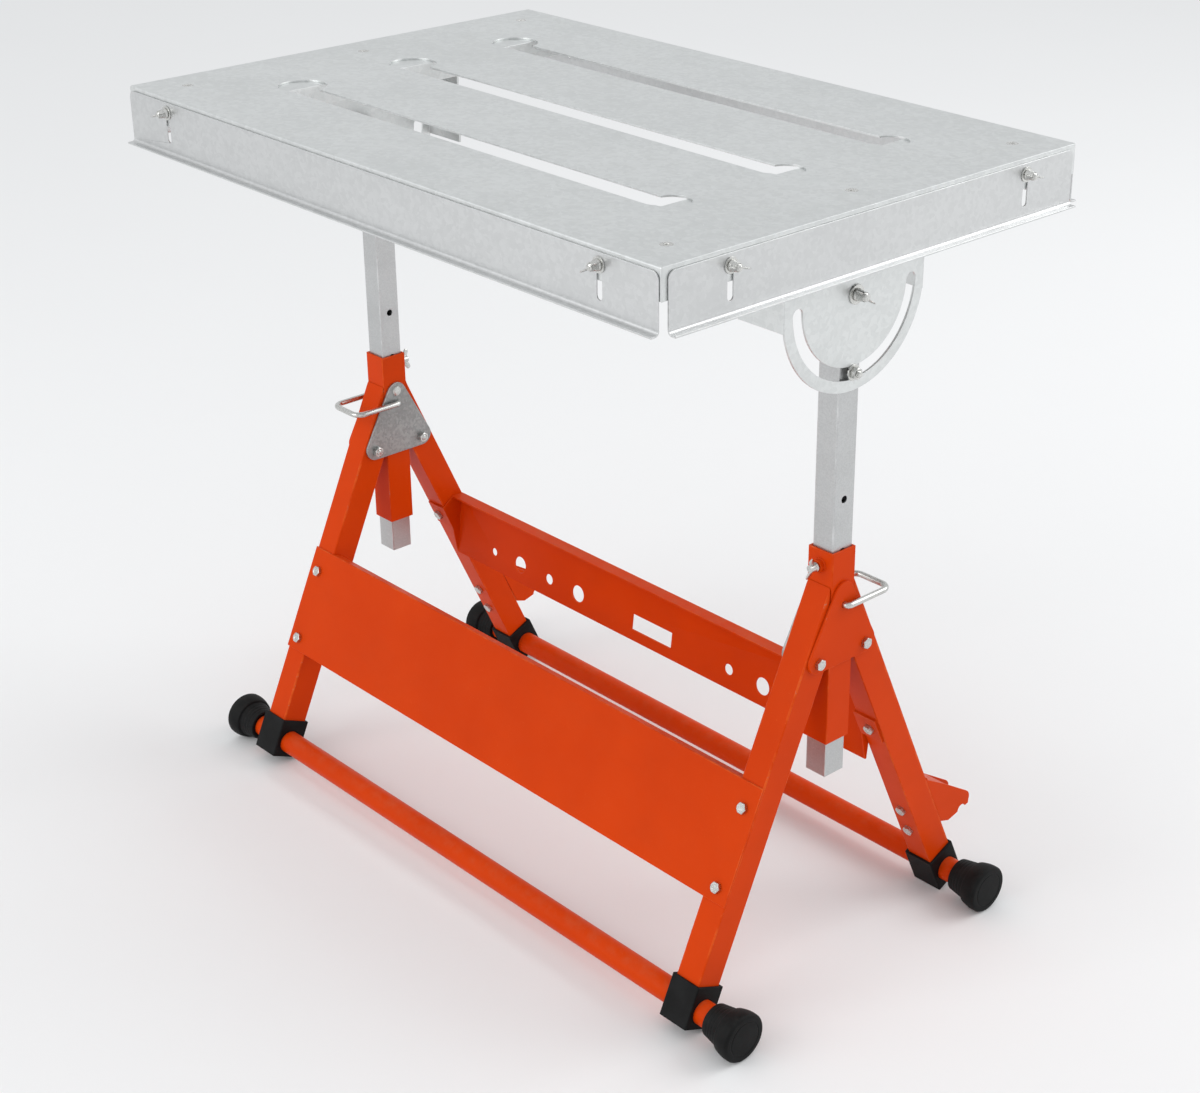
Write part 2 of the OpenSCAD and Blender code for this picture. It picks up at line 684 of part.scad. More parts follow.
// Flared rubber cap: a conical neck, a step out to a flared ring, and a domed end
module foot_caps() mirrored_x() translate([cap_inner_x, foot_offset, bar_z]) rotate([0, 90, 0])
    rotate_extrude($fn = 64) polygon([
        [bar_d / 2 + running, 0],
        [cap_neck_r, 0],
        [cap_step_r, cap_step],
        for (k = [0:corner_steps]) let (t = k / corner_steps)
            [cap_ring_r + (cap_r - cap_ring_r) * sin(90 * t), cap_step + 1.5 + (cap_flare - cap_step) * t],
        each arc([cap_r - cap_round, cap_length - cap_round - cap_dome], cap_round, 0, 80),
        [0, cap_length],
        [0, cap_length - cap_floor],
        [bar_d / 2 + running, cap_length - cap_floor]]);
module front_foot_caps() color(rubber) at_front() foot_caps();
module rear_foot_caps() color(rubber) foot_caps();

// ---- tool tray and rear brackets ----

module tool_tray() color(orange) difference() {
    union() {
        slab_x(-tray_half, tray_half) polygon([
            [tray_back - tray_lip, tray_top_z - tray_sheet],
            [tray_back - tray_sheet, tray_top_z - tray_sheet],
            [tray_back - tray_lean - tray_sheet, tray_bottom_z],
            [tray_back - tray_lean, tray_bottom_z],
            [tray_back, tray_top_z],
            [tray_back - tray_lip, tray_top_z]]);
        mirrored_x() {
            slab_x(tray_half, tray_half + tray_sheet) polygon([
                [tray_back, tray_top_z],
                [tray_back - tray_lip, tray_top_z],
                leg_point(tray_tab_rows[0], -leg_half - tray_sheet),
                leg_point(tray_tab_rows[1], -leg_half - tray_sheet),
                [tray_back - tray_lean - tray_sheet, tray_bottom_z],
                [tray_back - tray_lean, tray_bottom_z]]);
            in_leg() translate([tray_half, -leg_half - tray_sheet, -tray_tab_rows[1]])
                cube([tray_tab_w, tray_sheet, tray_tab_rows[1] - tray_tab_rows[0]]);
        }
    }
    for (hole = tray_rack) translate([hole[0], 0, tray_hole_z]) rotate([-90, 0, 0])
        cylinder(r = hole[1], h = 2 * tray_back);
    translate([tray_window[0], 0, tray_hole_z - tray_window[2] / 2])
        cube([tray_window[1] - tray_window[0], 2 * tray_back, tray_window[2]]);
    in_leg() at_both_legs() rod_leg(-leg_width, 0, fixing_r + running, tray_bolt_row);
}

module rear_brackets() color(orange) at_both_legs() {
    top = leg_point(rear_bracket_rows[0], leg_half);
    foot = leg_point(rear_bracket_rows[1], leg_half);
    knee = top + rear_bracket_web;
    slope = [-rear_bracket_web.y, rear_bracket_web.x] / norm(rear_bracket_web) * rear_bracket_sheet;
    difference() {
        union() {
            for (x = [-leg_half_x, leg_half_x - rear_bracket_sheet])
                slab_x(x, x + rear_bracket_sheet) difference() {
                    polygon([foot, foot + rear_bracket_toe, knee + rear_bracket_tip,
                        each arc(knee + rear_bracket_nose, rear_bracket_nose_r, -20, 60), knee, top]);
                    translate(knee + rear_bracket_eye) circle(r = rear_bracket_eye_r);
                }
            slab_x(-leg_half_x, leg_half_x) polygon([top, knee, knee - slope,
                leg_point(rear_bracket_rows[0] + rear_bracket_sheet, leg_half)]);
            in_leg() translate([-leg_half_x, leg_half, -rear_bracket_rows[1]])
                cube([2 * leg_half_x, rear_bracket_sheet, rear_bracket_rows[1] - rear_bracket_rows[0]]);
        }
        in_leg() for (s = rear_bracket_screws) rod_leg(0, leg_width, fixing_r + running, s);
    }
}
module rear_bolts() color(bolt_zinc) in_leg() at_both_legs() {
    face_bolt(tray_bolt_row, -1, leg_half + tray_sheet, tray_sheet + 2 * leg_wall);
    for (s = rear_bracket_screws) face_bolt(s, -1, leg_half, leg_width + 2 * rear_bracket_sheet);
}

tabletop();
top_screws();
top_screw_nuts();
cross_channels();
tilt_bracket_left();
tilt_bracket_right();
rail_bolts();
rail_washers();
guide_rail_front();
guide_rail_rear();
guide_rail_left();
guide_rail_right();
rail_wing_nut_front_left();
rail_wing_nut_front_right();
rail_wing_nut_rear_left();
rail_wing_nut_rear_right();
rail_wing_nut_left_front();
rail_wing_nut_left_rear();
rail_wing_nut_right_front();
rail_wing_nut_right_rear();
post_left();
post_right();
pivot_bolt_left();
pivot_bolt_right();
pivot_washers_left();
pivot_washers_right();
pivot_wing_nut_left();
pivot_wing_nut_right();
lock_bolt_left();
lock_bolt_right();
lock_nut_left();
lock_nut_right();
sleeve_left();
sleeve_right();
inner_gussets();
outer_gussets();
gusset_rivets();
leg_hinge_bolts();
leg_hinge_nuts();
sleeve_wing_bolt_left();
sleeve_wing_bolt_right();
lock_pin_left();
lock_pin_right();
front_leg_left();
front_leg_right();
front_panel();
panel_bolts();
front_foot_bar();
front_foot_shoes();
front_foot_caps();
rear_leg_left();
rear_leg_right();
tool_tray();
rear_bolts();
rear_brackets();
rear_foot_bar();
rear_foot_shoes();
rear_foot_caps();
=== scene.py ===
"""The looks of a folding welding table: a slotted zinc-coated top with adjustable edge rails,
tilting on two silver posts over orange powder-coated leg frames with black rubber feet.

Sheets and tubes are the frame's own nodes with their edges rounded; fasteners, lock pins, foot
bars and foot caps are surfaces worked out here. Lengths are in millimetres until a mesh is made."""
import json
import math

import bmesh
import bpy
import numpy as np
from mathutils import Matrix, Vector

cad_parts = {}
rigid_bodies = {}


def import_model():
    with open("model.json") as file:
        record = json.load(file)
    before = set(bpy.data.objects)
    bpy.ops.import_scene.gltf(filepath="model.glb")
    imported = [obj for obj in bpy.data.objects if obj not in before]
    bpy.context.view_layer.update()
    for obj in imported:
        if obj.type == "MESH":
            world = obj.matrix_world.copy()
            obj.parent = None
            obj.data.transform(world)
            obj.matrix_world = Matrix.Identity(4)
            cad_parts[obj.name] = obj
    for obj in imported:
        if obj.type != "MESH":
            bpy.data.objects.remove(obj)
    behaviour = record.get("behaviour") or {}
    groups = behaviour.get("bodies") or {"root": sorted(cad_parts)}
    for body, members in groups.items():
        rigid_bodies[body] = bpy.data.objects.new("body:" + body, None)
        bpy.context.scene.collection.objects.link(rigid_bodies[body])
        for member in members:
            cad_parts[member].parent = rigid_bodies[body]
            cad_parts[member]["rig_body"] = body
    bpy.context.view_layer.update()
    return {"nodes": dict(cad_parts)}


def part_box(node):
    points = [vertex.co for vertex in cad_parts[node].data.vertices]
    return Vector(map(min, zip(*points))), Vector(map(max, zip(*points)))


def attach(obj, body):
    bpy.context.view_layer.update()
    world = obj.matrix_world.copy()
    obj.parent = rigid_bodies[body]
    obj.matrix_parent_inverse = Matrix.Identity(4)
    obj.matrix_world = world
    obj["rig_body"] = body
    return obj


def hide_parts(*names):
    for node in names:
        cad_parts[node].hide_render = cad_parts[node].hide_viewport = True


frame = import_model()

MM = 0.001


def measure(node):
    """The middle and the half size of a node's box, in millimetres."""
    low, high = (np.array(corner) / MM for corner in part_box(node))
    return np.round((low + high) / 2, 2), np.round((high - low) / 2, 2)


# Sizes of the table, from the frame
top_middle, top_half = measure("tabletop")
HALF_LENGTH, HALF_WIDTH = top_half[:2]
TOP_Z = top_middle[2] + top_half[2]
post_middle, post_half = measure("post_right")
POST_X, POST_HALF = post_middle[0], post_half[0]
SLEEVE_HALF = measure("sleeve_right")[1][0]
PIVOT_Z = measure("pivot_bolt_right")[0][2]
LOCK_Z = measure("lock_bolt_right")[0][2]
PIN_Z = measure("lock_pin_right")[0][2]
HINGE_Z = measure("leg_hinge_bolts")[0][2]
RIVET_Z = measure("gusset_rivets")[0][2]
bar_middle, bar_half = measure("rear_foot_bar")
FOOT_Y, BAR_Z = bar_middle[1:]
BAR_HALF, BAR_R = bar_half[0], bar_half[2]
CAP_END = measure("rear_foot_caps")[1][0]

# Places and thicknesses that no node's box gives
RAIL_BOLT_Z = TOP_Z - 14.0
CLAMP_Z = 429.0
SHEET = 2.0
GUSSET_FACE = SLEEVE_HALF + 2.5
BRACKET_SHEET = 2.5
BRACKET_FACE = POST_HALF + 1.5 + BRACKET_SHEET
BRACKET_SEAT = BRACKET_FACE + 0.1
LEG_HALF = 15.0
LEG_SIDE = SLEEVE_HALF - 0.3
HINGE_Y = SLEEVE_HALF + LEG_HALF + 1.0
SPREAD = math.atan((FOOT_Y - HINGE_Y) / (HINGE_Z - BAR_Z))
CAP_LENGTH = 40.0

# Common fastener sizes
BOLT_R = 3.0
BOLT_BORE = 3.06
HEAD_CORNER = 5.8
HEAD_HEIGHT = 4.0
NUT_HEIGHT = 5.0
SUNK = 0.3

UP = np.array([0.0, 0.0, 1.0])

# Edges sharper than this are rounded, and shaded as edges
SHARP = math.radians(25)


# ---- camera, floor and light ----

def set_camera():
    """A camera a little above the table's near right corner."""
    data = bpy.data.cameras.new("camera")
    data.lens = 66.45
    data.sensor_width = 36.0
    data.shift_x = -0.05
    data.clip_start, data.clip_end = 0.05, 200.0
    camera = bpy.data.objects.new("camera", data)
    bpy.context.scene.collection.objects.link(camera)
    camera.location = (1.543262, -1.342563, 1.309257)
    turn, drop = math.radians(46.915), math.radians(25.724)
    level = math.cos(drop)
    forward = Vector((-math.sin(turn) * level, math.cos(turn) * level, -math.sin(drop)))
    camera.rotation_mode = "QUATERNION"
    camera.rotation_quaternion = forward.to_track_quat("-Z", "Y")
    bpy.context.scene.camera = camera


def set_light(name, place, aim, size, power):
    """A square area light at a place, turned towards aim."""
    data = bpy.data.lights.new(name, "AREA")
    data.shape = "SQUARE"
    data.size, data.energy = size, power
    light = bpy.data.objects.new(name, data)
    bpy.context.scene.collection.objects.link(light)
    light.location = place
    light.rotation_mode = "QUATERNION"
    light.rotation_quaternion = (Vector(aim) - Vector(place)).to_track_quat("-Z", "Y")


# ---- node trees ----

def add(tree, kind, settings=None, **inputs):
    """A shader node of a kind, with its settings, and its inputs set to values or linked."""
    made = tree.nodes.new("ShaderNode" + kind)
    for key, value in (settings or {}).items():
        setattr(made, key, value)
    for key, value in inputs.items():
        socket = made.inputs[key.replace("_", " ")]
        if isinstance(value, bpy.types.NodeSocket):
            tree.links.new(value, socket)
        else:
            socket.default_value = value
    return made


def calc(tree, operation, *values, clamp=False):
    """The output of a Math node over values or sockets."""
    made = add(tree, "Math", {"operation": operation, "use_clamp": clamp})
    for k, value in enumerate(values):
        if isinstance(value, bpy.types.NodeSocket):
            tree.links.new(value, made.inputs[k])
        else:
            made.inputs[k].default_value = value
    return made.outputs[0]


def ramp(tree, value, low, high, out_low=0.0, out_high=1.0):
    """A value carried smoothly from one range to another."""
    made = add(tree, "MapRange", {"interpolation_type": "SMOOTHSTEP"}, Value=value, From_Min=low,
               From_Max=high, To_Min=out_low, To_Max=out_high)
    return made.outputs["Result"]


def blend_colour(tree, factor, first, second):
    """Two colours mixed by a factor."""
    made = add(tree, "Mix", {"data_type": "RGBA"})
    for k, value in ((0, factor), (6, first), (7, second)):
        if isinstance(value, bpy.types.NodeSocket):
            tree.links.new(value, made.inputs[k])
        else:
            made.inputs[k].default_value = value
    return made.outputs[2]


def stretched(tree, place, scale):
    """Coordinates scaled by a different amount on each axis."""
    return add(tree, "Mapping", Vector=place, Scale=scale).outputs[0]


def noise(tree, place, scale, detail=2.0, roughness=0.5):
    """The value of a noise texture."""
    return add(tree, "TexNoise", Vector=place, Scale=scale, Detail=detail,
               Roughness=roughness).outputs["Fac"]


def new_group(name, inputs, outputs):
    """An empty node group with float inputs, a Position input, and float outputs."""
    tree = bpy.data.node_groups.new(name, "ShaderNodeTree")
    tree.interface.new_socket("Position", in_out="INPUT", socket_type="NodeSocketVector")
    for key, value in inputs.items():
        socket = tree.interface.new_socket(key, in_out="INPUT", socket_type="NodeSocketFloat")
        socket.default_value = value
    for key in outputs:
        tree.interface.new_socket(key, in_out="OUTPUT", socket_type="NodeSocketFloat")
    return tree, tree.nodes.new("NodeGroupInput").outputs, tree.nodes.new("NodeGroupOutput").inputs


def use(tree, group, place, **values):
    """A group placed in a material; returns its outputs."""
    made = tree.nodes.new("ShaderNodeGroup")
    made.node_tree = group
    tree.links.new(place, made.inputs["Position"])
    for key, value in values.items():
        made.inputs[key.replace("_", " ")].default_value = value
    return made.outputs


def make_zinc_grain():
    """Zinc coating: flat crystals a few millimetres across with their own tint and gloss, fine
    rolling lines along X, and a faint cloudiness."""
    tree, given, out = new_group("zinc_grain", {"Crystal Scale": 160.0}, ("Tint", "Gloss", "Height"))
    place = given["Position"]
    wobble = add(tree, "TexNoise", Vector=place, Scale=90.0, Detail=2.0)
    bent = add(tree, "VectorMath", {"operation": "MULTIPLY_ADD"})
    tree.links.new(wobble.outputs["Color"], bent.inputs[0])
    bent.inputs[1].default_value = (0.006, 0.006, 0.006)
    tree.links.new(place, bent.inputs[2])
    crystals = add(tree, "TexVoronoi", {"feature": "F1"}, Vector=bent.outputs[0],
                   Scale=given["Crystal Scale"])
    tone = add(tree, "SeparateColor", Color=crystals.outputs["Color"]).outputs[0]
    lines = noise(tree, stretched(tree, place, (14.0, 1100.0, 1100.0)), 1.0, 3.0, 0.7)
    clouds = noise(tree, place, 7.0, 3.0, 0.55)
    tint = calc(tree, "ADD", calc(tree, "MULTIPLY", tone, 0.34), calc(tree, "MULTIPLY", clouds, 0.42))
    tree.links.new(calc(tree, "MULTIPLY_ADD", lines, 0.30, tint), out["Tint"])
    gloss = calc(tree, "MULTIPLY_ADD", tone, 0.45, calc(tree, "MULTIPLY", lines, 0.55))
    tree.links.new(gloss, out["Gloss"])
    height = calc(tree, "MULTIPLY_ADD", lines, 0.7, calc(tree, "MULTIPLY", tone, 0.3))
    tree.links.new(height, out["Height"])
    return tree


def make_orange_peel():
    """Powder coat: shallow ripples about a millimetre and a half apart with finer ones on them,
    specks of dry powder, and slow drifts in the thickness of the coat."""
    tree, given, out = new_group("orange_peel", {}, ("Height", "Speck", "Drift"))
    place = given["Position"]
    broad = noise(tree, place, 620.0, 1.0)
    fine = noise(tree, place, 2100.0, 1.0)
    tree.links.new(calc(tree, "MULTIPLY_ADD", fine, 0.3, broad), out["Height"])
    tree.links.new(ramp(tree, noise(tree, place, 1500.0, 2.0, 0.7), 0.66, 0.80), out["Speck"])
    tree.links.new(noise(tree, place, 5.0, 3.0, 0.6), out["Drift"])
    return tree


def make_scuffs():
    """Handling marks: thin scratches in two directions where a broad patch allows them, and
    smudges of wiped-on dirt."""
    tree, given, out = new_group("scuffs", {"Amount": 0.5}, ("Scratch", "Smudge"))
    place = given["Position"]
    patch = ramp(tree, noise(tree, place, 11.0, 3.0, 0.6), 0.48, 0.66)
    lines = []
    for turn, thin in (((0.1, 0.2, 0.5), (26.0, 900.0, 900.0)), ((0.3, -0.1, -0.9), (900.0, 22.0, 900.0))):
        turned_place = add(tree, "Mapping", Vector=place, Rotation=turn).outputs[0]
        lines.append(ramp(tree, noise(tree, stretched(tree, turned_place, thin), 1.0, 1.0), 0.73, 0.80))
    marks = calc(tree, "MULTIPLY", calc(tree, "MAXIMUM", *lines), patch)
    tree.links.new(calc(tree, "MULTIPLY", marks, given["Amount"]), out["Scratch"])
    smear = ramp(tree, noise(tree, stretched(tree, place, (9.0, 14.0, 22.0)), 1.0, 5.0, 0.62), 0.42, 0.75)
    tree.links.new(calc(tree, "MULTIPLY", smear, given["Amount"]), out["Smudge"])
    return tree


def make_settled_dust():
    """Dust: most on faces that look up, broken up by noise."""
    tree, given, out = new_group("settled_dust", {"Amount": 0.3}, ("Dust",))
    normal = add(tree, "NewGeometry").outputs["Normal"]
    upward = ramp(tree, add(tree, "SeparateXYZ", Vector=normal).outputs["Z"], 0.3, 1.0)
    broken = ramp(tree, noise(tree, given["Position"], 60.0, 5.0, 0.7), 0.35, 0.75)
    lying = calc(tree, "MULTIPLY", upward, broken)
    tree.links.new(calc(tree, "MULTIPLY", lying, given["Amount"]), out["Dust"])
    return tree


def make_edge_wear_and_highlight():
    """Wear and painted highlight for faces that round an edge: irregular rubbed stretches, painted brighter
    partly as wear and partly as a painted highlight, and small chips in them.
    """
    tree, given, out = new_group("edge_wear_and_highlight", {"Amount": 0.5}, ("Rubbed And Highlight", "Chip"))
    place = given["Position"]
    # This mask paints rounded edges brighter: partly rubbed wear, partly a painted highlight
    rubbed_and_highlit = ramp(tree, noise(tree, place, 45.0, 4.0, 0.65), 0.40, 0.72)
    chips = ramp(tree, noise(tree, place, 420.0, 3.0, 0.7), 0.60, 0.66)
    chipped = calc(tree, "MULTIPLY", chips, rubbed_and_highlit)
    tree.links.new(calc(tree, "MULTIPLY", rubbed_and_highlit, given["Amount"]), out["Rubbed And Highlight"])
    tree.links.new(calc(tree, "MULTIPLY", chipped, given["Amount"]), out["Chip"])
    return tree


zinc_grain = make_zinc_grain()
orange_peel = make_orange_peel()
scuffs = make_scuffs()
settled_dust = make_settled_dust()
edge_wear_and_highlight = make_edge_wear_and_highlight()


# ---- finishes ----

SHEET_TONES = ((0.665, 0.680, 0.675), (0.735, 0.750, 0.745))
RAIL_TONES = ((0.610, 0.617, 0.617), (0.665, 0.672, 0.672))
POST_TONES = ((0.50, 0.505, 0.505), (0.57, 0.575, 0.575))
GUSSET_TONES = ((0.30, 0.305, 0.30), (0.42, 0.425, 0.42))
FASTENER_TONES = ((0.50, 0.50, 0.48), (0.70, 0.70, 0.68))
ZINC_SCRATCH = (0.90, 0.91, 0.92, 1)
# Brighter zinc for rounded edges: partly rubbed wear, partly a painted highlight
ZINC_RUBBED_AND_HIGHLIGHT = (0.80, 0.81, 0.81, 1)
ZINC_DUST = (0.46, 0.45, 0.43, 1)
ORANGE_TONES = ((0.600, 0.044, 0.0012, 1), (0.660, 0.052, 0.0016, 1))
ORANGE_SPECK = (0.50, 0.040, 0.002, 1)
ORANGE_SCRATCH = (0.80, 0.22, 0.08, 1)
ORANGE_SMUDGE = (0.42, 0.040, 0.004, 1)
# Paler orange for rounded edges: partly rubbed wear, partly a painted highlight
ORANGE_RUBBED_AND_HIGHLIGHT = (0.80, 0.15, 0.03, 1)
ORANGE_DUST = (0.50, 0.16, 0.08, 1)
BARE_STEEL = (0.30, 0.28, 0.26, 1)
RUBBER_TONES = ((0.0035, 0.0036, 0.0037, 1), (0.0090, 0.0093, 0.0096, 1))
RUBBER_SCUFF = (0.07, 0.07, 0.07, 1)
RUBBER_DUST = (0.045, 0.042, 0.039, 1)


def new_finish(name):
    """A material with its Principled shader, the piece's own coordinates, and a way to link."""
    material = bpy.data.materials.new(name)
    material.use_nodes = True
    tree = material.node_tree
    shader = tree.nodes["Principled BSDF"]
    place = tree.nodes.new("ShaderNodeTexCoord").outputs["Object"]
    return material, tree, shader, place


def bump(tree, shader, height, depth, strength=1.0):
    """A Bump node of a depth in metres, into the shader's normal."""
    made = add(tree, "Bump", Height=height, Distance=depth, Strength=strength)
    tree.links.new(made.outputs[0], shader.inputs["Normal"])


def zinc_finish(name, dark, light, gloss, crystal_scale, depth, marks, dust, metallic=1.0, edge=False):
    """Zinc-coated steel: grain in colour, gloss and relief, scratches that catch the light, smudges
    and a little dust. On rounded edges the coat is painted brighter in irregular stretches, partly as rubbed
    wear and partly as a painted highlight."""
    material, tree, shader, place = new_finish(name)
    grain = use(tree, zinc_grain, place, Crystal_Scale=crystal_scale)
    marked = use(tree, scuffs, place, Amount=marks)
    dusty = use(tree, settled_dust, place, Amount=dust)["Dust"]
    tint = calc(tree, "MULTIPLY_ADD", marked["Smudge"], -0.25, grain["Tint"])
    colour = blend_colour(tree, ramp(tree, tint, 0.30, 0.75), (*dark, 1), (*light, 1))
    colour = blend_colour(tree, marked["Scratch"], colour, ZINC_SCRATCH)
    shine = calc(tree, "MULTIPLY_ADD", grain["Gloss"], gloss[1] - gloss[0], gloss[0])
    shine = calc(tree, "MULTIPLY_ADD", marked["Smudge"], 0.10, shine)
    if edge:
        worn_and_highlit = use(tree, edge_wear_and_highlight, place, Amount=0.5)
        # Rounded edges painted brighter: partly rubbed wear, partly a painted highlight
        colour = blend_colour(tree, worn_and_highlit["Rubbed And Highlight"], colour, ZINC_RUBBED_AND_HIGHLIGHT)
        shine = calc(tree, "MULTIPLY_ADD", worn_and_highlit["Rubbed And Highlight"], -0.08, shine)
    colour = blend_colour(tree, dusty, colour, ZINC_DUST)
    shine = calc(tree, "MULTIPLY_ADD", dusty, 0.25, shine, clamp=True)
    tree.links.new(colour, shader.inputs["Base Color"])
    tree.links.new(shine, shader.inputs["Roughness"])
    shader.inputs["Metallic"].default_value = metallic
    shader.inputs["Specular IOR Level"].default_value = 0.3
    relief = calc(tree, "MULTIPLY_ADD", marked["Scratch"], -0.6, grain["Height"])
    bump(tree, shader, relief, depth)
    return material


def powder_coat(name, edge=False):
    """Orange powder coat: orange-peel relief, slow drifts of tone, dry specks, thin scratches and
    dust. On rounded edges the coat is painted paler in irregular stretches, partly as rubbed wear and partly
    as a painted highlight, with chips down to the steel."""
    material, tree, shader, place = new_finish(name)
    peel = use(tree, orange_peel, place)
    marked = use(tree, scuffs, place, Amount=0.35)
    dusty = use(tree, settled_dust, place, Amount=0.22)["Dust"]
    colour = blend_colour(tree, ramp(tree, peel["Drift"], 0.3, 0.7), *ORANGE_TONES)
    for mark, share, tone in ((peel["Speck"], 0.35, ORANGE_SPECK), (marked["Scratch"], 0.7, ORANGE_SCRATCH),
                              (marked["Smudge"], 0.35, ORANGE_SMUDGE)):
        colour = blend_colour(tree, calc(tree, "MULTIPLY", mark, share), colour, tone)
    colour = blend_colour(tree, dusty, colour, ORANGE_DUST)
    shine = calc(tree, "MULTIPLY_ADD", peel["Drift"], 0.12, 0.27)
    shine = calc(tree, "MULTIPLY_ADD", marked["Smudge"], 0.16, shine)
    shine = calc(tree, "MULTIPLY_ADD", dusty, 0.4, shine)
    relief = calc(tree, "MULTIPLY_ADD", marked["Scratch"], -0.8, peel["Height"])
    if edge:
        worn_and_highlit = use(tree, edge_wear_and_highlight, place, Amount=0.55)
        # Rounded edges painted paler: partly rubbed wear, partly a painted highlight
        colour = blend_colour(tree, worn_and_highlit["Rubbed And Highlight"], colour, ORANGE_RUBBED_AND_HIGHLIGHT)
        colour = blend_colour(tree, worn_and_highlit["Chip"], colour, BARE_STEEL)
        shine = calc(tree, "MULTIPLY_ADD", worn_and_highlit["Rubbed And Highlight"], 0.10, shine)
        relief = calc(tree, "MULTIPLY_ADD", worn_and_highlit["Chip"], -1.0, relief)
        tree.links.new(calc(tree, "MULTIPLY", worn_and_highlit["Chip"], 0.9), shader.inputs["Metallic"])
    tree.links.new(colour, shader.inputs["Base Color"])
    tree.links.new(calc(tree, "MINIMUM", shine, 0.9), shader.inputs["Roughness"])
    shader.inputs["Specular IOR Level"].default_value = 0.06
    bump(tree, shader, relief, 0.00005)
    return material


def rubber(name):
    """Black moulded rubber: a fine matt grain, grey bloom in patches, scuffs, and pale dust."""
    material, tree, shader, place = new_finish(name)
    grain = noise(tree, place, 1700.0, 3.0, 0.6)
    bloom = noise(tree, place, 38.0, 4.0, 0.6)
    marked = use(tree, scuffs, place, Amount=0.8)
    dusty = use(tree, settled_dust, place, Amount=0.30)["Dust"]
    colour = blend_colour(tree, ramp(tree, bloom, 0.35, 0.7), *RUBBER_TONES)
    colour = blend_colour(tree, calc(tree, "MULTIPLY", marked["Scratch"], 0.5), colour, RUBBER_SCUFF)
    colour = blend_colour(tree, dusty, colour, RUBBER_DUST)
    shine = calc(tree, "MULTIPLY_ADD", grain, 0.20, calc(tree, "MULTIPLY_ADD", bloom, 0.22, 0.38))
    tree.links.new(colour, shader.inputs["Base Color"])
    tree.links.new(calc(tree, "ADD", shine, calc(tree, "MULTIPLY", dusty, 0.3), clamp=True),
                   shader.inputs["Roughness"])
    shader.inputs["Specular IOR Level"].default_value = 0.15
    bump(tree, shader, calc(tree, "MULTIPLY_ADD", bloom, 0.6, grain), 0.00008)
    return material


def zinc_pair(name, tones, gloss, crystal_scale, depth, marks, dust, metallic=1.0):
    """A zinc finish, and the same finish for rounded edges."""
    return [zinc_finish(name + end, *tones, gloss, crystal_scale, depth, marks, dust, metallic, edge)
            for end, edge in (("", False), ("_edges", True))]


FINISHES = {
    "galvanized_sheet": zinc_pair("galvanized_top_sheet", SHEET_TONES, gloss=(0.36, 0.46),
                                  crystal_scale=240.0, depth=0.00002, marks=0.5, dust=0.10),
    "galvanized_rail": zinc_pair("galvanized_rail_strip", RAIL_TONES, gloss=(0.34, 0.43),
                                 crystal_scale=260.0, depth=0.00002, marks=0.45, dust=0.06),
    "post_steel": zinc_pair("satin_silver_post", POST_TONES, gloss=(0.34, 0.44),
                            crystal_scale=900.0, depth=0.00001, marks=0.6, dust=0.04, metallic=0.9),
    "bare_zinc": zinc_pair("matt_zinc_gusset", GUSSET_TONES, gloss=(0.40, 0.58),
                           crystal_scale=380.0, depth=0.00003, marks=0.8, dust=0.05, metallic=0.95),
    "zinc_fasteners": zinc_pair("bright_zinc_fastener", FASTENER_TONES, gloss=(0.20, 0.34),
                                crystal_scale=1400.0, depth=0.00001, marks=0.5, dust=0.02),
    "orange_powder_coat": [powder_coat("orange_powder_coat"), powder_coat("orange_powder_coat_edges", True)],
    "black_rubber": [rubber("black_moulded_rubber")],
}


# ---- pieces ----

def take_place(piece, finish, *nodes):
    """The piece gets its finish, rides where its nodes ride, and stands for them."""
    if not piece.data.materials:
        for material in FINISHES[finish]:
            piece.data.materials.append(material)
    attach(piece, frame["nodes"][nodes[0]]["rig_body"])
    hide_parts(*nodes)
    return piece


def soften(name, finish, fine, broad=0.0, pick=None, segments=3):
    """A node's own mesh with every sharp edge rounded: fine on all, broad on those that pick
    chooses from each edge's middle, direction and length in millimetres."""
    shape = bmesh.new()
    shape.from_mesh(frame["nodes"][name].data)
    bmesh.ops.remove_doubles(shape, verts=shape.verts, dist=2e-6)
    bmesh.ops.dissolve_degenerate(shape, edges=shape.edges, dist=1e-6)
    bmesh.ops.dissolve_limit(shape, verts=shape.verts, edges=shape.edges, angle_limit=math.radians(0.4))
    for face in shape.faces:
        face.material_index = 0
        face.smooth = True
    width = max(fine, broad)
    weights = shape.edges.layers.float.new("bevel_weight_edge")
    for edge in shape.edges:
        if len(edge.link_faces) != 2 or edge.calc_face_angle(0.0) < SHARP:
            continue
        a, b = (np.array(v.co) / MM for v in edge.verts)
        length = np.linalg.norm(b - a)
        wide = pick is not None and pick((a + b) / 2, np.abs(b - a) / max(length, 1e-9), length)
        edge[weights] = 1.0 if wide else fine / width
    mesh = bpy.data.meshes.new(name + "_finished")
    shape.to_mesh(mesh)
    shape.free()
    mesh.set_sharp_from_angle(angle=SHARP)
    for material in FINISHES[finish]:
        mesh.materials.append(material)
    piece = bpy.data.objects.new(name + "_finished", mesh)
    bpy.context.scene.collection.objects.link(piece)
    rounding = piece.modifiers.new("rounding", "BEVEL")
    rounding.limit_method = "WEIGHT"
    rounding.width = width * MM
    rounding.segments = segments
    rounding.harden_normals = True
    rounding.use_clamp_overlap = False
    rounding.material = len(FINISHES[finish]) - 1
    done = bpy.data.meshes.new_from_object(piece.evaluated_get(bpy.context.evaluated_depsgraph_get()))
    piece.modifiers.clear()
    points = np.empty(len(done.vertices) * 3, np.float32)
    done.vertices.foreach_get("co", points)
    low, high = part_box(name)
    done.vertices.foreach_set("co", np.clip(points.reshape(-1, 3), low, high).ravel())
    piece.data = done
    return take_place(piece, finish, name)


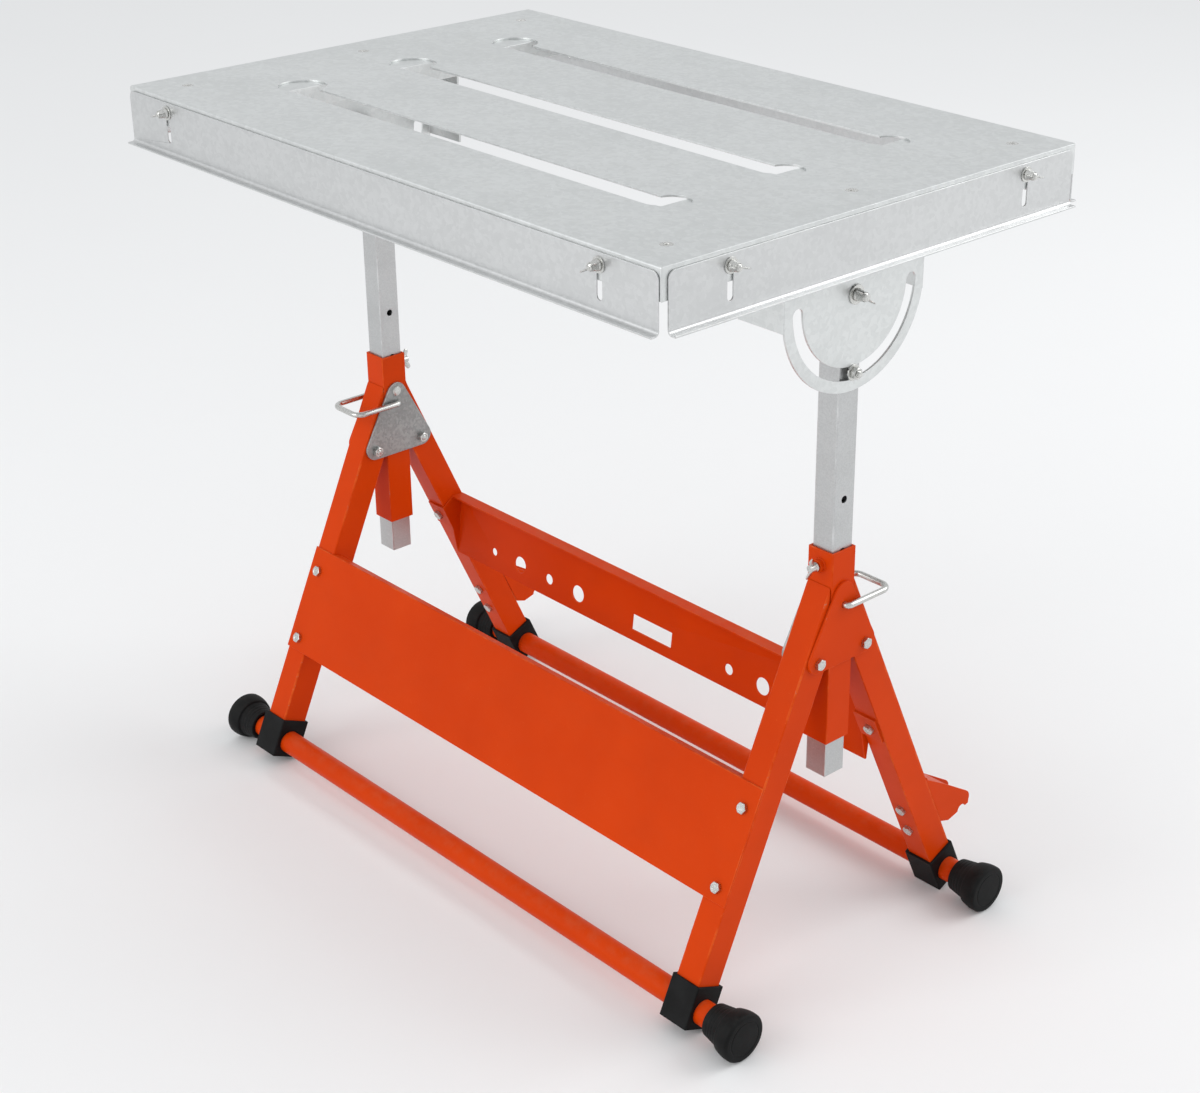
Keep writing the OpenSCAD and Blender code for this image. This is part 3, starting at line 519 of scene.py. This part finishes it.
def join_grids(name, grids):
    """One mesh from grids of points, each (rows, columns, 3) with its columns closed round; a grid
    with wrap set also closes its rows. Points that meet are merged, so poles and seams are closed."""
    points, faces, start = [], [], 0
    for grid, wrap in grids:
        rows, columns = grid.shape[:2]
        index = start + np.arange(rows * columns).reshape(rows, columns)
        above = np.roll(index, -1, axis=0) if wrap else index[1:]
        below = index if wrap else index[:-1]
        faces.append(np.stack([below, np.roll(below, -1, axis=1), np.roll(above, -1, axis=1), above],
                              axis=-1).reshape(-1, 4))
        points.append(grid.reshape(-1, 3))
        start += rows * columns
    points, faces = np.concatenate(points) * MM, np.concatenate(faces)
    mesh = bpy.data.meshes.new(name)
    mesh.vertices.add(len(points))
    mesh.vertices.foreach_set("co", points.ravel())
    mesh.loops.add(faces.size)
    mesh.loops.foreach_set("vertex_index", faces.ravel())
    mesh.polygons.add(len(faces))
    mesh.polygons.foreach_set("loop_start", np.arange(0, faces.size, 4))
    mesh.update(calc_edges=True)
    shape = bmesh.new()
    shape.from_mesh(mesh)
    bmesh.ops.remove_doubles(shape, verts=shape.verts, dist=1e-7)
    bmesh.ops.dissolve_degenerate(shape, edges=shape.edges, dist=1e-8)
    for face in shape.faces:
        face.smooth = True
    shape.to_mesh(mesh)
    shape.free()
    mesh.set_sharp_from_angle(angle=SHARP)
    piece = bpy.data.objects.new(name, mesh)
    bpy.context.scene.collection.objects.link(piece)
    return piece


def stand(grid, foot, out, side):
    """A grid made about +Z from the origin, moved to foot with its Z along out and X along side."""
    z = np.array(out, float)
    x = np.array(side, float)
    x = x - z * (x @ z)
    x /= np.linalg.norm(x)
    return grid @ np.stack([x, np.cross(z, x), z]) + np.array(foot, float)


def angles(count):
    """Equal steps round a circle."""
    return np.linspace(0, 2 * np.pi, count, endpoint=False)


def turned(profile, count=48):
    """A profile of (radius, height) pairs turned about Z: x = r cos a, y = r sin a, z = h."""
    r, h = np.array(profile, float).T
    a = angles(count)
    return np.stack([r[:, None] * np.cos(a), r[:, None] * np.sin(a), h[:, None] + 0 * a], axis=-1)


def rounded(profile, radius, steps=4, closed=False):
    """A profile with each corner replaced by a quadratic curve that starts and ends at most radius
    from it: p = (1-t)^2 start + 2t(1-t) corner + t^2 end. An open profile keeps its two ends."""
    points = np.array(profile, float)
    count = len(points)
    t = np.linspace(0, 1, steps)[:, None]
    made = []
    for k in range(count):
        if not closed and k in (0, count - 1):
            made.append(points[k][None])
            continue
        corner, before, after = points[k], points[k - 1] - points[k], points[(k + 1) % count] - points[k]
        first, second = np.linalg.norm(before), np.linalg.norm(after)
        start = corner + before * min(radius, 0.45 * first) / first
        end = corner + after * min(radius, 0.45 * second) / second
        made.append((1 - t) ** 2 * start + 2 * t * (1 - t) * corner + t ** 2 * end)
    return np.concatenate(made)


def hex_outline(corner, count=72):
    """The angles round a hexagon, and the distance to its side: r = flat / cos(a mod 60 - 30 degrees)."""
    a = angles(count)
    return a, corner * math.cos(math.pi / 6) / np.cos(a % (math.pi / 3) - math.pi / 6)


def hex_head(corner, height, bore=0.0):
    """A hexagon prism whose corners are cut by a 30-degree cone at the top, so that each flat ends
    in an arc: z = height - tan 30 (r - 0.93 flat). With a bore it is a nut cut by both cones."""
    a, r = hex_outline(corner)
    flat = 0.93 * corner * math.cos(math.pi / 6)
    cut = math.tan(math.radians(30)) * np.maximum(r - flat, 0)
    ring = np.minimum(r, flat)
    low = np.zeros_like(r)
    if bore:
        rows = [(ring, low), (r, cut), (r, height - cut), (ring, low + height),
                (low + bore + 0.5, low + height), (low + bore, low + height - 0.5),
                (low + bore, low + 0.5), (low + bore + 0.5, low)]
    else:
        dish = 0.72 * flat
        rows = [(low, low), (r, low), (r, height - cut), (ring, low + height), (low + dish, low + height),
                (low + dish - 0.5, low + height - 0.25), (low, low + height - 0.25)]
    return np.stack([np.stack([p * np.cos(a), p * np.sin(a), z], axis=-1) for p, z in rows])


def thread(radius, start, length, pitch, count=28):
    """A threaded shank: r = radius - 0.32 pitch (1 + cos(2 pi z / pitch - a)), a single helix whose
    crests reach the full radius, with the end tapered over the last pitch."""
    a = angles(count)
    z = np.linspace(0, length, max(int(length / pitch * 7), 8))[:, None]
    depth = 0.32 * pitch * (1 + np.cos(2 * np.pi * z / pitch - a))
    taper = 0.9 * np.clip((z - length + pitch) / pitch, 0, 1) ** 2
    r = np.maximum(radius - depth - taper, 0.3 * radius)
    body = np.stack([r * np.cos(a), r * np.sin(a), z + start + 0 * a], axis=-1)
    cap = [np.stack([0 * a, 0 * a, 0 * a + e], axis=-1)[None] for e in (start, start + length)]
    return np.concatenate([cap[0], body, cap[1]])


def ear(side, size):
    """One ear of a wing nut: an oval section carried up a leaning line from the hub to the tip.
    Half width 2.95 and half thickness 0.98 thinning to 0.78, both closed by sqrt(1 - t^8) at the tip,
    with the face hollowed a little in its middle like a pressed finger pad."""
    t = np.sin(np.linspace(0, np.pi / 2, 22))[:, None]
    a = angles(28)
    root, tip = np.array([3.0, 4.7]), np.array([11.35, 9.9])
    along = root + t * (tip - root)
    lean = math.atan2(5.4, 8.6)
    close = np.sqrt(np.maximum(1 - t ** 8, 0)) * np.minimum(1, 0.25 + 3 * t) ** 0.3
    width = 2.95 * close * (1 + 0.08 * np.sin(np.pi * t))
    thick = (0.98 - 0.2 * t) * close * (1 - 0.18 * np.sin(np.pi * t) * np.cos(a) ** 2)
    across = width * np.cos(a)
    x = along[:, :1] - across * math.sin(lean)
    z = along[:, 1:] + across * math.cos(lean)
    y = thick * np.sin(a)
    grid = np.stack([x * side, y * side, z], axis=-1) * size
    ends = [np.repeat(grid[k].mean(axis=0)[None, None], 28, axis=1) for k in (0, -1)]
    return np.concatenate([ends[0], grid, ends[1]])[::-1]


def wing_grids(size, bore, height=8.0):
    """A wing nut's or wing bolt's parts about +Z: a hub that narrows upwards with a rounded top,
    a flange at its foot, and two ears."""
    hub = [(5.0, 0), (5.0, 1.2), (4.3, 2.0), (3.75, height - 0.2), (3.75, height)]
    if bore:
        edge = (bore + 0.06) / size
        profile = rounded([(edge, 0.3), (edge + 0.3, 0), *hub, (edge + 0.35, height), (edge, height - 0.35)],
                          0.6, closed=True)
        made = [(turned(profile * size), True)]
    else:
        made = [(turned(rounded([(0, 0), *hub, (0, height)], 0.7) * size), False)]
    return made + [(ear(side, size), False) for side in (1, -1)]


def place_all(grids, foot, out, side):
    """Several grids moved together."""
    return [(stand(grid, foot, out, side), wrap) for grid, wrap in grids]


def washer(bore, radius, thickness):
    """A flat washer with rolled edges, closed round its own section."""
    return [(turned(rounded([(bore, 0), (radius, 0), (radius, thickness), (bore, thickness)],
                            0.35, closed=True), 56), True)]


def hex_bolt(foot, out, side, shank, radius=BOLT_R, corner=HEAD_CORNER, height=HEAD_HEIGHT, pitch=1.0):
    """A hex head standing from foot along out, with its threaded shank the other way. The thread
    starts a little inside the head, so the two shells never share a face."""
    back = -np.array(out, float)
    return (place_all([(hex_head(corner, height), False)], foot, out, side)
            + place_all([(thread(radius, -SUNK, shank + SUNK, pitch), False)], foot, back, side))


def hex_nut(foot, out, side, corner=HEAD_CORNER, bore=BOLT_BORE):
    """A hex nut standing from foot along out."""
    return place_all([(hex_head(corner, NUT_HEIGHT, bore), True)], foot, out, side)


def fasten(name, grids, node):
    """Grids made one zinc piece that stands for a node."""
    take_place(join_grids(name, grids), "zinc_fasteners", node)


# Sides of the table: direction outwards, direction along, and distance to the apron
SIDES = {
    "front": ((0, -1, 0), (1, 0, 0), HALF_WIDTH),
    "right": ((1, 0, 0), (0, 1, 0), HALF_LENGTH),
    "rear": ((0, 1, 0), (-1, 0, 0), HALF_WIDTH),
    "left": ((-1, 0, 0), (0, -1, 0), HALF_LENGTH),
}
RAIL_BOLT_ALONG = {
    "front": HALF_LENGTH - 69.0,
    "right": HALF_WIDTH - 72.0,
    "rear": HALF_LENGTH - 69.0,
    "left": HALF_WIDTH - 72.0,
}

# Outer face of a guide rail, out from the apron, and the thickness of its washers
RAIL_SEAT = 1.9
RAIL_WASHER = 1.2

# Wing nuts of the rails: node, side, which of its two bolts, and turn in degrees
RAIL_WING_NUTS = (
    ("front_left", "front", -1, 20), ("front_right", "front", 1, 33),
    ("rear_left", "rear", 1, 35), ("rear_right", "rear", -1, 0),
    ("left_front", "left", 1, -25), ("left_rear", "left", -1, 15),
    ("right_front", "right", -1, -14), ("right_rear", "right", 1, -15),
)


def on_side(side, along, out_by):
    """A point on a side of the table at the rail bolts' height."""
    out, forward, reach = SIDES[side]
    return np.array(out) * (reach + out_by) + np.array(forward) * along + np.array([0, 0, RAIL_BOLT_Z])


def make_rail_fixings():
    """Hex bolts through the apron, washers on the rails, and a wing nut on each."""
    bolts, washers = [], []
    for side, distance in RAIL_BOLT_ALONG.items():
        out, forward = np.array(SIDES[side][:2], float)
        for along in (-distance, distance):
            bolts += hex_bolt(on_side(side, along, -SHEET), -out, forward, 15.0, corner=5.0)
            seat = on_side(side, along, RAIL_SEAT)
            washers += place_all(washer(BOLT_BORE, 7.0, RAIL_WASHER), seat, out, forward)
    fasten("rail_bolts_threaded", bolts, "rail_bolts")
    fasten("rail_washers_rolled", washers, "rail_washers")
    for node, side, end, turn in RAIL_WING_NUTS:
        out, forward = np.array(SIDES[side][:2], float)
        turn = math.radians(turn)
        lean = forward * math.cos(turn) + UP * math.sin(turn)
        seat = on_side(side, end * RAIL_BOLT_ALONG[side], RAIL_SEAT + RAIL_WASHER + 0.1)
        nut = place_all(wing_grids(1.0, BOLT_R), seat, out, lean)
        fasten("wing_nut_" + node, nut, "rail_wing_nut_" + node)


def make_top_screws():
    """Countersunk screws with a cross recess, and nuts under the channels. A head's face sinks by
    1.3 (1 - d)^0.7, where d grows from 0 inside a plus sign to 1 just outside it."""
    a = angles(96)
    r = np.concatenate([[0], np.linspace(0.35, 3.4, 26), [4.2, 5.0, 5.5, 5.7]])[:, None]
    x, y = r * np.cos(a), r * np.sin(a)
    arm = np.maximum(np.minimum(np.abs(x), np.abs(y)) - 0.45, 0) / 0.28
    reach = np.maximum(np.maximum(np.abs(x), np.abs(y)) - 2.3, 0) / 0.6
    sink = 1.3 * np.clip(1 - np.hypot(arm, reach), 0, 1) ** 0.7
    face = np.stack([x, y, -0.1 - sink], axis=-1)[::-1]
    under = turned([(3.0, -2.0), (5.7, -0.18)], 96)
    closing = np.stack([0 * a, 0 * a, 0 * a - 2.0], axis=-1)[None]
    head = np.concatenate([closing, under, face])
    screws, nuts = [], []
    screw_x, screw_y = POST_X + 7.0, HALF_WIDTH - 42.0
    channel_bottom = TOP_Z - 2 * SHEET
    for x in (-screw_x, screw_x):
        for y in (-screw_y, 0.0, screw_y):
            spin = math.radians(17 + x * 0.31 + y * 0.47)
            side = (math.cos(spin), math.sin(spin), 0)
            screws.append((stand(head, (x, y, TOP_Z), UP, side), False))
            screws.append((stand(thread(BOLT_R, 1.7, 16.3, 1.0), (x, y, TOP_Z), -UP, side), False))
            seat = channel_bottom - (BRACKET_SHEET if y == 0 else 0)
            nuts += hex_nut((x, y, seat - NUT_HEIGHT), UP, (1, 0, 0), corner=5.5, bore=3.1)
    fasten("top_screws_cross_head", screws, "top_screws")
    fasten("top_screw_nuts_hex", nuts, "top_screw_nuts")


def make_end(node_end, sign):
    """Everything on one post that is turned or bent: the pivot, the lock bolt, the sleeve's wing
    bolt and the lock pin. sign is 1 at the right-hand end; the left is the right turned half round."""
    turn = np.array([sign, sign, 1.0])

    def at(x, y, z):
        return np.array([POST_X + x, y, z]) * turn

    out = np.array([1.0, 0, 0]) * turn
    front = np.array([0, -1.0, 0]) * turn

    head = at(-POST_HALF, 0, PIVOT_Z)
    bolt = hex_bolt(head, -out, UP, 42.5, radius=4.0, corner=7.5, height=5.3, pitch=1.25)
    fasten("pivot_bolt_threaded_" + node_end, bolt, "pivot_bolt_" + node_end)
    rings = []
    for seat, thickness in ((POST_HALF, 1.4), (BRACKET_SEAT, 1.5)):
        rings += place_all(washer(4.06, 9.0, thickness), at(seat, 0, PIVOT_Z), out, UP)
    fasten("pivot_washers_rolled_" + node_end, rings, "pivot_washers_" + node_end)
    spin = math.radians(52)
    lean = -math.sin(spin) * front - math.cos(spin) * UP
    nut = place_all(wing_grids(1.15, 4.0), at(BRACKET_SEAT + 1.6, 0, PIVOT_Z), out, lean)
    fasten("pivot_wing_nut_eared_" + node_end, nut, "pivot_wing_nut_" + node_end)

    bolt = hex_bolt(at(-POST_HALF, 0, LOCK_Z), -out, UP, 38.5)
    fasten("lock_bolt_threaded_" + node_end, bolt, "lock_bolt_" + node_end)
    nut = place_all(washer(BOLT_BORE, 7.5, 1.5), at(BRACKET_SEAT, 0, LOCK_Z), out, UP)
    nut += hex_nut(at(BRACKET_SEAT + 1.5, 0, LOCK_Z), out, UP)
    fasten("lock_nut_hex_" + node_end, nut, "lock_nut_" + node_end)

    spin = math.radians(78)
    lean = math.cos(spin) * out + math.sin(spin) * UP
    seat = at(0, -SLEEVE_HALF - NUT_HEIGHT - 1.0, CLAMP_Z)
    wing = place_all(wing_grids(0.95, 0.0, 8.0 / 0.95), seat, front, lean)
    wing += place_all([(thread(BOLT_R, -SUNK, 8.5, 1.0), False)], seat, -front, lean)
    fasten("sleeve_wing_bolt_eared_" + node_end, wing, "sleeve_wing_bolt_" + node_end)

    fasten("lock_pin_bent_" + node_end, [(bent_pin(at), False)], "lock_pin_" + node_end)


def bent_pin(at):
    """A round wire swept along its bent middle line: from its tip in the sleeve, round a tight bend,
    along one side, across, and back the same way on the other side. Ring k is
    p + wire (n cos a + z sin a), with n square to the line in its own plane; each end is closed by
    rings of radius wire sqrt(1 - s^2)."""
    steps = np.linspace(0, math.pi / 2, 10)
    wire, tip = 3.0, POST_HALF + 1.4
    side, reach, tight, easy = GUSSET_FACE + 1.7 + wire, HINGE_Y + LEG_HALF + 11.0, 4.0, 10.0
    half = [np.array([[tip, 0.0]])]
    half.append(np.stack([side - tight + tight * np.sin(steps), tight - tight * np.cos(steps)], axis=1))
    half.append(np.array([[side, y] for y in (14.0, 30.0, 40.0)]))
    half.append(np.stack([side - easy + easy * np.cos(steps), reach - easy + easy * np.sin(steps)], axis=1))
    half = np.concatenate(half)
    line = np.concatenate([half, half[::-1] * [-1, 1]])
    go = np.gradient(line, axis=0)
    go[0], go[-1] = line[1] - line[0], line[-1] - line[-2]
    go /= np.linalg.norm(go, axis=1)[:, None]
    s = np.sin(np.linspace(0, math.pi / 2, 6))[::-1]
    closing = wire * np.sqrt(1 - s ** 2)
    dome = 0.6 * s[:, None]
    radii = np.concatenate([closing, np.full(len(line) - 2, wire), closing[::-1]])
    line = np.concatenate([line[:1] - go[0] * dome, line[1:-1], line[-1:] + go[-1] * dome[::-1]])
    go = np.concatenate([np.repeat(go[:1], 6, axis=0), go[1:-1], np.repeat(go[-1:], 6, axis=0)])
    a = angles(28)
    across = np.stack([go[:, 1], -go[:, 0]], axis=1)
    x = line[:, :1] + radii[:, None] * across[:, :1] * np.cos(a)
    y = line[:, 1:] + radii[:, None] * across[:, 1:] * np.cos(a)
    z = PIN_Z + radii[:, None] * np.sin(a)
    flat = np.stack([x, y, z + 0 * x], axis=-1)
    origin = at(0, 0, 0)
    turn = np.sign([origin[0], origin[0], 1.0])
    return (flat * turn + origin)[::-1]


def on_leg(x, down, out_by, front):
    """A point on a leg frame: down along the leg from its hinge, out from the leg's middle."""
    y = HINGE_Y + down * math.sin(SPREAD) + out_by * math.cos(SPREAD)
    z = HINGE_Z - down * math.cos(SPREAD) + out_by * math.sin(SPREAD)
    return np.array([x, -y if front else y, z])


def leg_out(front):
    """The direction out of a leg's outer face."""
    return np.array([0, -math.cos(SPREAD) if front else math.cos(SPREAD), math.sin(SPREAD)])


def face_bolt(x, down, seat, shank, front, outer=True):
    """A hex bolt seated on a leg's outer or inner face, with its threaded shank inside."""
    way = leg_out(front) * (1 if outer else -1)
    foot = on_leg(x, down, seat if outer else -seat, front)
    return hex_bolt(foot, way, (1, 0, 0), shank)


def make_leg_fixings():
    """Bolts of the panel, tray, brackets, hinges and gussets, with the hinge nuts. The rows count
    down the leg from its hinge."""
    on_sheet, sheet_shank = LEG_HALF + SHEET, 5.2
    panel_rows, tray_row = (149.0, 228.0), 116.0
    bracket_rows, through_leg = (244.0, 276.0), 34.0
    rivet = [(0, -3.9), (3.0, -3.9), (3.0, 0.0), (5.5, 0.0), (5.45, 0.35), (4.9, 0.95), (3.6, 1.35),
             (1.8, 1.48), (0, 1.5)]
    panel, rear, hinges, nuts, rivets = [], [], [], [], []
    for sign in (-1, 1):
        x = sign * POST_X
        out = np.array([sign, 0.0, 0.0])
        outside, inside = x + sign * GUSSET_FACE, x - sign * GUSSET_FACE
        for down in panel_rows:
            panel += face_bolt(x, down, on_sheet, sheet_shank, True)
        rear += face_bolt(x, tray_row, on_sheet, sheet_shank, False, outer=False)
        for down in bracket_rows:
            rear += face_bolt(x, down, LEG_HALF, through_leg, False, outer=False)
        for y in (-HINGE_Y, HINGE_Y):
            hinges += hex_bolt((outside, y, HINGE_Z), out, UP, 41.0)
            nuts += hex_nut((inside, y, HINGE_Z), -out, UP)
        rivets += place_all([(turned(rivet), False)], (inside, 0, RIVET_Z), -out, UP)
    fasten("panel_bolts_hex", panel, "panel_bolts")
    fasten("rear_bolts_hex", rear, "rear_bolts")
    fasten("leg_hinge_bolts_hex", hinges, "leg_hinge_bolts")
    fasten("leg_hinge_nuts_hex", nuts, "leg_hinge_nuts")
    fasten("gusset_rivets_domed", rivets, "gusset_rivets")


def foot_cap():
    """Half of a cap's section, turned: a cone-shaped neck with three shallow grip grooves, a step out to a
    flared ring, and a domed end; z is the distance from the cap's inner edge."""
    neck = np.linspace(0, 20, 26)[1:-1]
    swell = 17.0 + 3.5 * neck / 20
    groove = 0.35 * np.maximum(np.cos(2 * np.pi * (neck - 6.5) / 4.0), 0) ** 2 * (np.abs(neck - 10.5) < 6.0)
    t = np.linspace(0, 1, 9)
    bell = np.stack([22.8 + 2.2 * np.sin(np.pi / 2 * t), 21.5 + 11.5 * t], axis=1)
    a = np.linspace(0, math.radians(80), 7)
    edge = np.stack([21.5 + 3.5 * np.cos(a), 35.9 + 3.5 * np.sin(a)], axis=1)
    dome = [(21.0, 39.45), (18.5, 39.5), (17.9, 39.2), (17.2, 39.2), (16.6, 39.6), (8.0, 39.92), (0, 40.0)]
    profile = [(0, 36.0), (12.7, 36.0), (12.7, 0.4), (13.1, 0.0), (16.4, 0.0), (17.0, 0.5),
               *np.stack([swell - groove, neck], axis=1), (20.4, 20.0), (21.2, 20.35), (22.3, 20.8),
               *bell, *edge[1:], *dome]
    return turned(profile, 72)


def make_feet():
    """Foot bars and the rubber caps on their ends. A bar's long walls are cut into short rings."""
    tube = rounded([(BAR_R - 2, -BAR_HALF), (BAR_R, -BAR_HALF), (BAR_R, BAR_HALF), (BAR_R - 2, BAR_HALF)],
                   0.4, closed=True)
    wall = []
    for here, there in zip(tube, np.roll(tube, -1, axis=0)):
        parts = 24 if abs(there[1] - here[1]) > 100 else 1
        wall.append(here + np.arange(parts)[:, None] / parts * (there - here))
    wall = turned(np.concatenate(wall), 64)
    for row, y in (("front", -FOOT_Y), ("rear", FOOT_Y)):
        bar = [(stand(wall, (0, y, BAR_Z), (1, 0, 0), UP), True)]
        take_place(join_grids(row + "_foot_bar_tube", bar), "orange_powder_coat", row + "_foot_bar")
        caps = [(stand(foot_cap(), (sign * (CAP_END - CAP_LENGTH), y, BAR_Z), (sign, 0, 0), UP), False)
                for sign in (-1, 1)]
        take_place(join_grids(row + "_foot_caps_moulded", caps), "black_rubber", row + "_foot_caps")


def make_weld_beads():
    """Painted weld beads round the clamp nuts on the sleeves: a ring whose own radius ripples,
    r = 1 + 0.16 sin(22 a) + 0.1 sin(3 a + 1), lying in the corner between nut and sleeve."""
    a = angles(120)[:, None]
    b = angles(14)
    thick = 1.0 + 0.16 * np.sin(22 * a) + 0.1 * np.sin(3 * a + 1)
    ring = 6.25 + thick * np.cos(b)
    bead = np.stack([ring * np.cos(a), ring * np.sin(a), 0.2 + thick * np.sin(b)], axis=-1)[::-1]
    for end, sign in (("right", 1), ("left", -1)):
        foot = (sign * POST_X, -sign * SLEEVE_HALF, CLAMP_Z)
        piece = join_grids("clamp_nut_weld_" + end, place_all([(bead, True)], foot, (0, -sign, 0), (1, 0, 0)))
        for material in FINISHES["orange_powder_coat"]:
            piece.data.materials.append(material)
        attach(piece, "base")


def make_sheets_and_tubes():
    """Every folded sheet and square tube, its edges rounded as the real folds and tubes are."""

    near = 0.1
    bracket_x, bracket_y = POST_X + BRACKET_FACE, 88.0
    tray_middle, tray_half = measure("tool_tray")
    tray_top = tray_middle[2] + tray_half[2]

    def top_folds(middle, way, length):
        rim = abs(middle[0]) > HALF_LENGTH - near or abs(middle[1]) > HALF_WIDTH - near
        return rim and (middle[2] > TOP_Z - near or way[2] > 0.9) and length > 20

    def channel_folds(middle, way, length):
        return way[1] > 0.9 and middle[2] > TOP_Z - SHEET - near and length > 100

    def bracket_folds(middle, way, length):
        on_face = abs(abs(middle[0]) - bracket_x) < 2 * near
        corner = abs(abs(middle[1]) - bracket_y) < 2 * near and way[2] > 0.9
        return on_face and (corner or middle[2] > TOP_Z - 2 * SHEET - near)

    def tube_edges(half):
        def pick(middle, way, length):
            return length > 40 and way[0] < near and abs(abs(abs(middle[0]) - POST_X) - half) < 1.5 * near
        return pick

    def panel_folds(middle, way, length):
        return way[0] > 0.9 and length > 300 and abs(middle[1]) > 75

    def tray_fold(middle, way, length):
        return way[0] > 0.9 and length > 300 and middle[2] > tray_top - near and middle[1] > 80

    soften("tabletop", "galvanized_sheet", 0.3, 1.7, top_folds)
    soften("cross_channels", "galvanized_sheet", 0.3, 1.6, channel_folds)
    for end in ("left", "right"):
        soften("tilt_bracket_" + end, "galvanized_sheet", 0.35, 1.6, bracket_folds)
        soften("post_" + end, "post_steel", 0.3, 1.6, tube_edges(POST_HALF))
        soften("sleeve_" + end, "orange_powder_coat", 0.35, 1.5, tube_edges(SLEEVE_HALF))
        for row in ("front", "rear"):
            soften(f"{row}_leg_{end}", "orange_powder_coat", 0.35, 1.8, tube_edges(LEG_SIDE))
    for side in SIDES:
        soften("guide_rail_" + side, "galvanized_rail", 0.3)
    soften("inner_gussets", "bare_zinc", 0.4)
    soften("outer_gussets", "orange_powder_coat", 0.4)
    soften("front_panel", "orange_powder_coat", 0.35, 1.3, panel_folds)
    soften("tool_tray", "orange_powder_coat", 0.35, 1.3, tray_fold)
    soften("rear_brackets", "orange_powder_coat", 0.4)
    for row in ("front", "rear"):
        soften(row + "_foot_shoes", "black_rubber", 0.8, 1.6, tube_edges(LEG_SIDE + 2.8), segments=4)


# ---- the scene ----

def set_floor():
    """A plain pale floor, wide enough to pass out of sight."""
    half = 60.0
    floor = bpy.data.objects.new("floor", bpy.data.meshes.new("floor"))
    floor.data.from_pydata([(-half, -half, 0), (half, -half, 0), (half, half, 0), (-half, half, 0)], [],
                           [(0, 1, 2, 3)])
    bpy.context.scene.collection.objects.link(floor)
    material, tree, shader, place = new_finish("pale_floor")
    tones = (0.865, 0.865, 0.865, 1), (0.875, 0.875, 0.875, 1)
    colour = blend_colour(tree, noise(tree, place, 3.0, 3.0), *tones)
    tree.links.new(colour, shader.inputs["Base Color"])
    shader.inputs["Roughness"].default_value = 0.9
    shader.inputs["Specular IOR Level"].default_value = 0.0
    floor.data.materials.append(material)


def set_world():
    """An even white surround."""
    world = bpy.data.worlds.new("surround")
    world.use_nodes = True
    world.node_tree.nodes["Background"].inputs["Color"].default_value = (0.97, 0.985, 1.0, 1)
    world.node_tree.nodes["Background"].inputs["Strength"].default_value = 0.84
    bpy.context.scene.world = world
    bpy.context.scene.view_settings.view_transform = "Standard"


set_camera()
set_floor()
set_world()
set_light("key", place=(2.0, 3.0, 2.6), aim=(0.4, 0.4, 0.4), size=2.6, power=56)
set_light("fill", place=(-0.8, -3.8, 2.2), aim=(0, 0, 0.4), size=2.6, power=52)

make_sheets_and_tubes()
make_rail_fixings()
make_top_screws()
make_end("right", 1.0)
make_end("left", -1.0)
make_leg_fixings()
make_feet()
make_weld_beads()
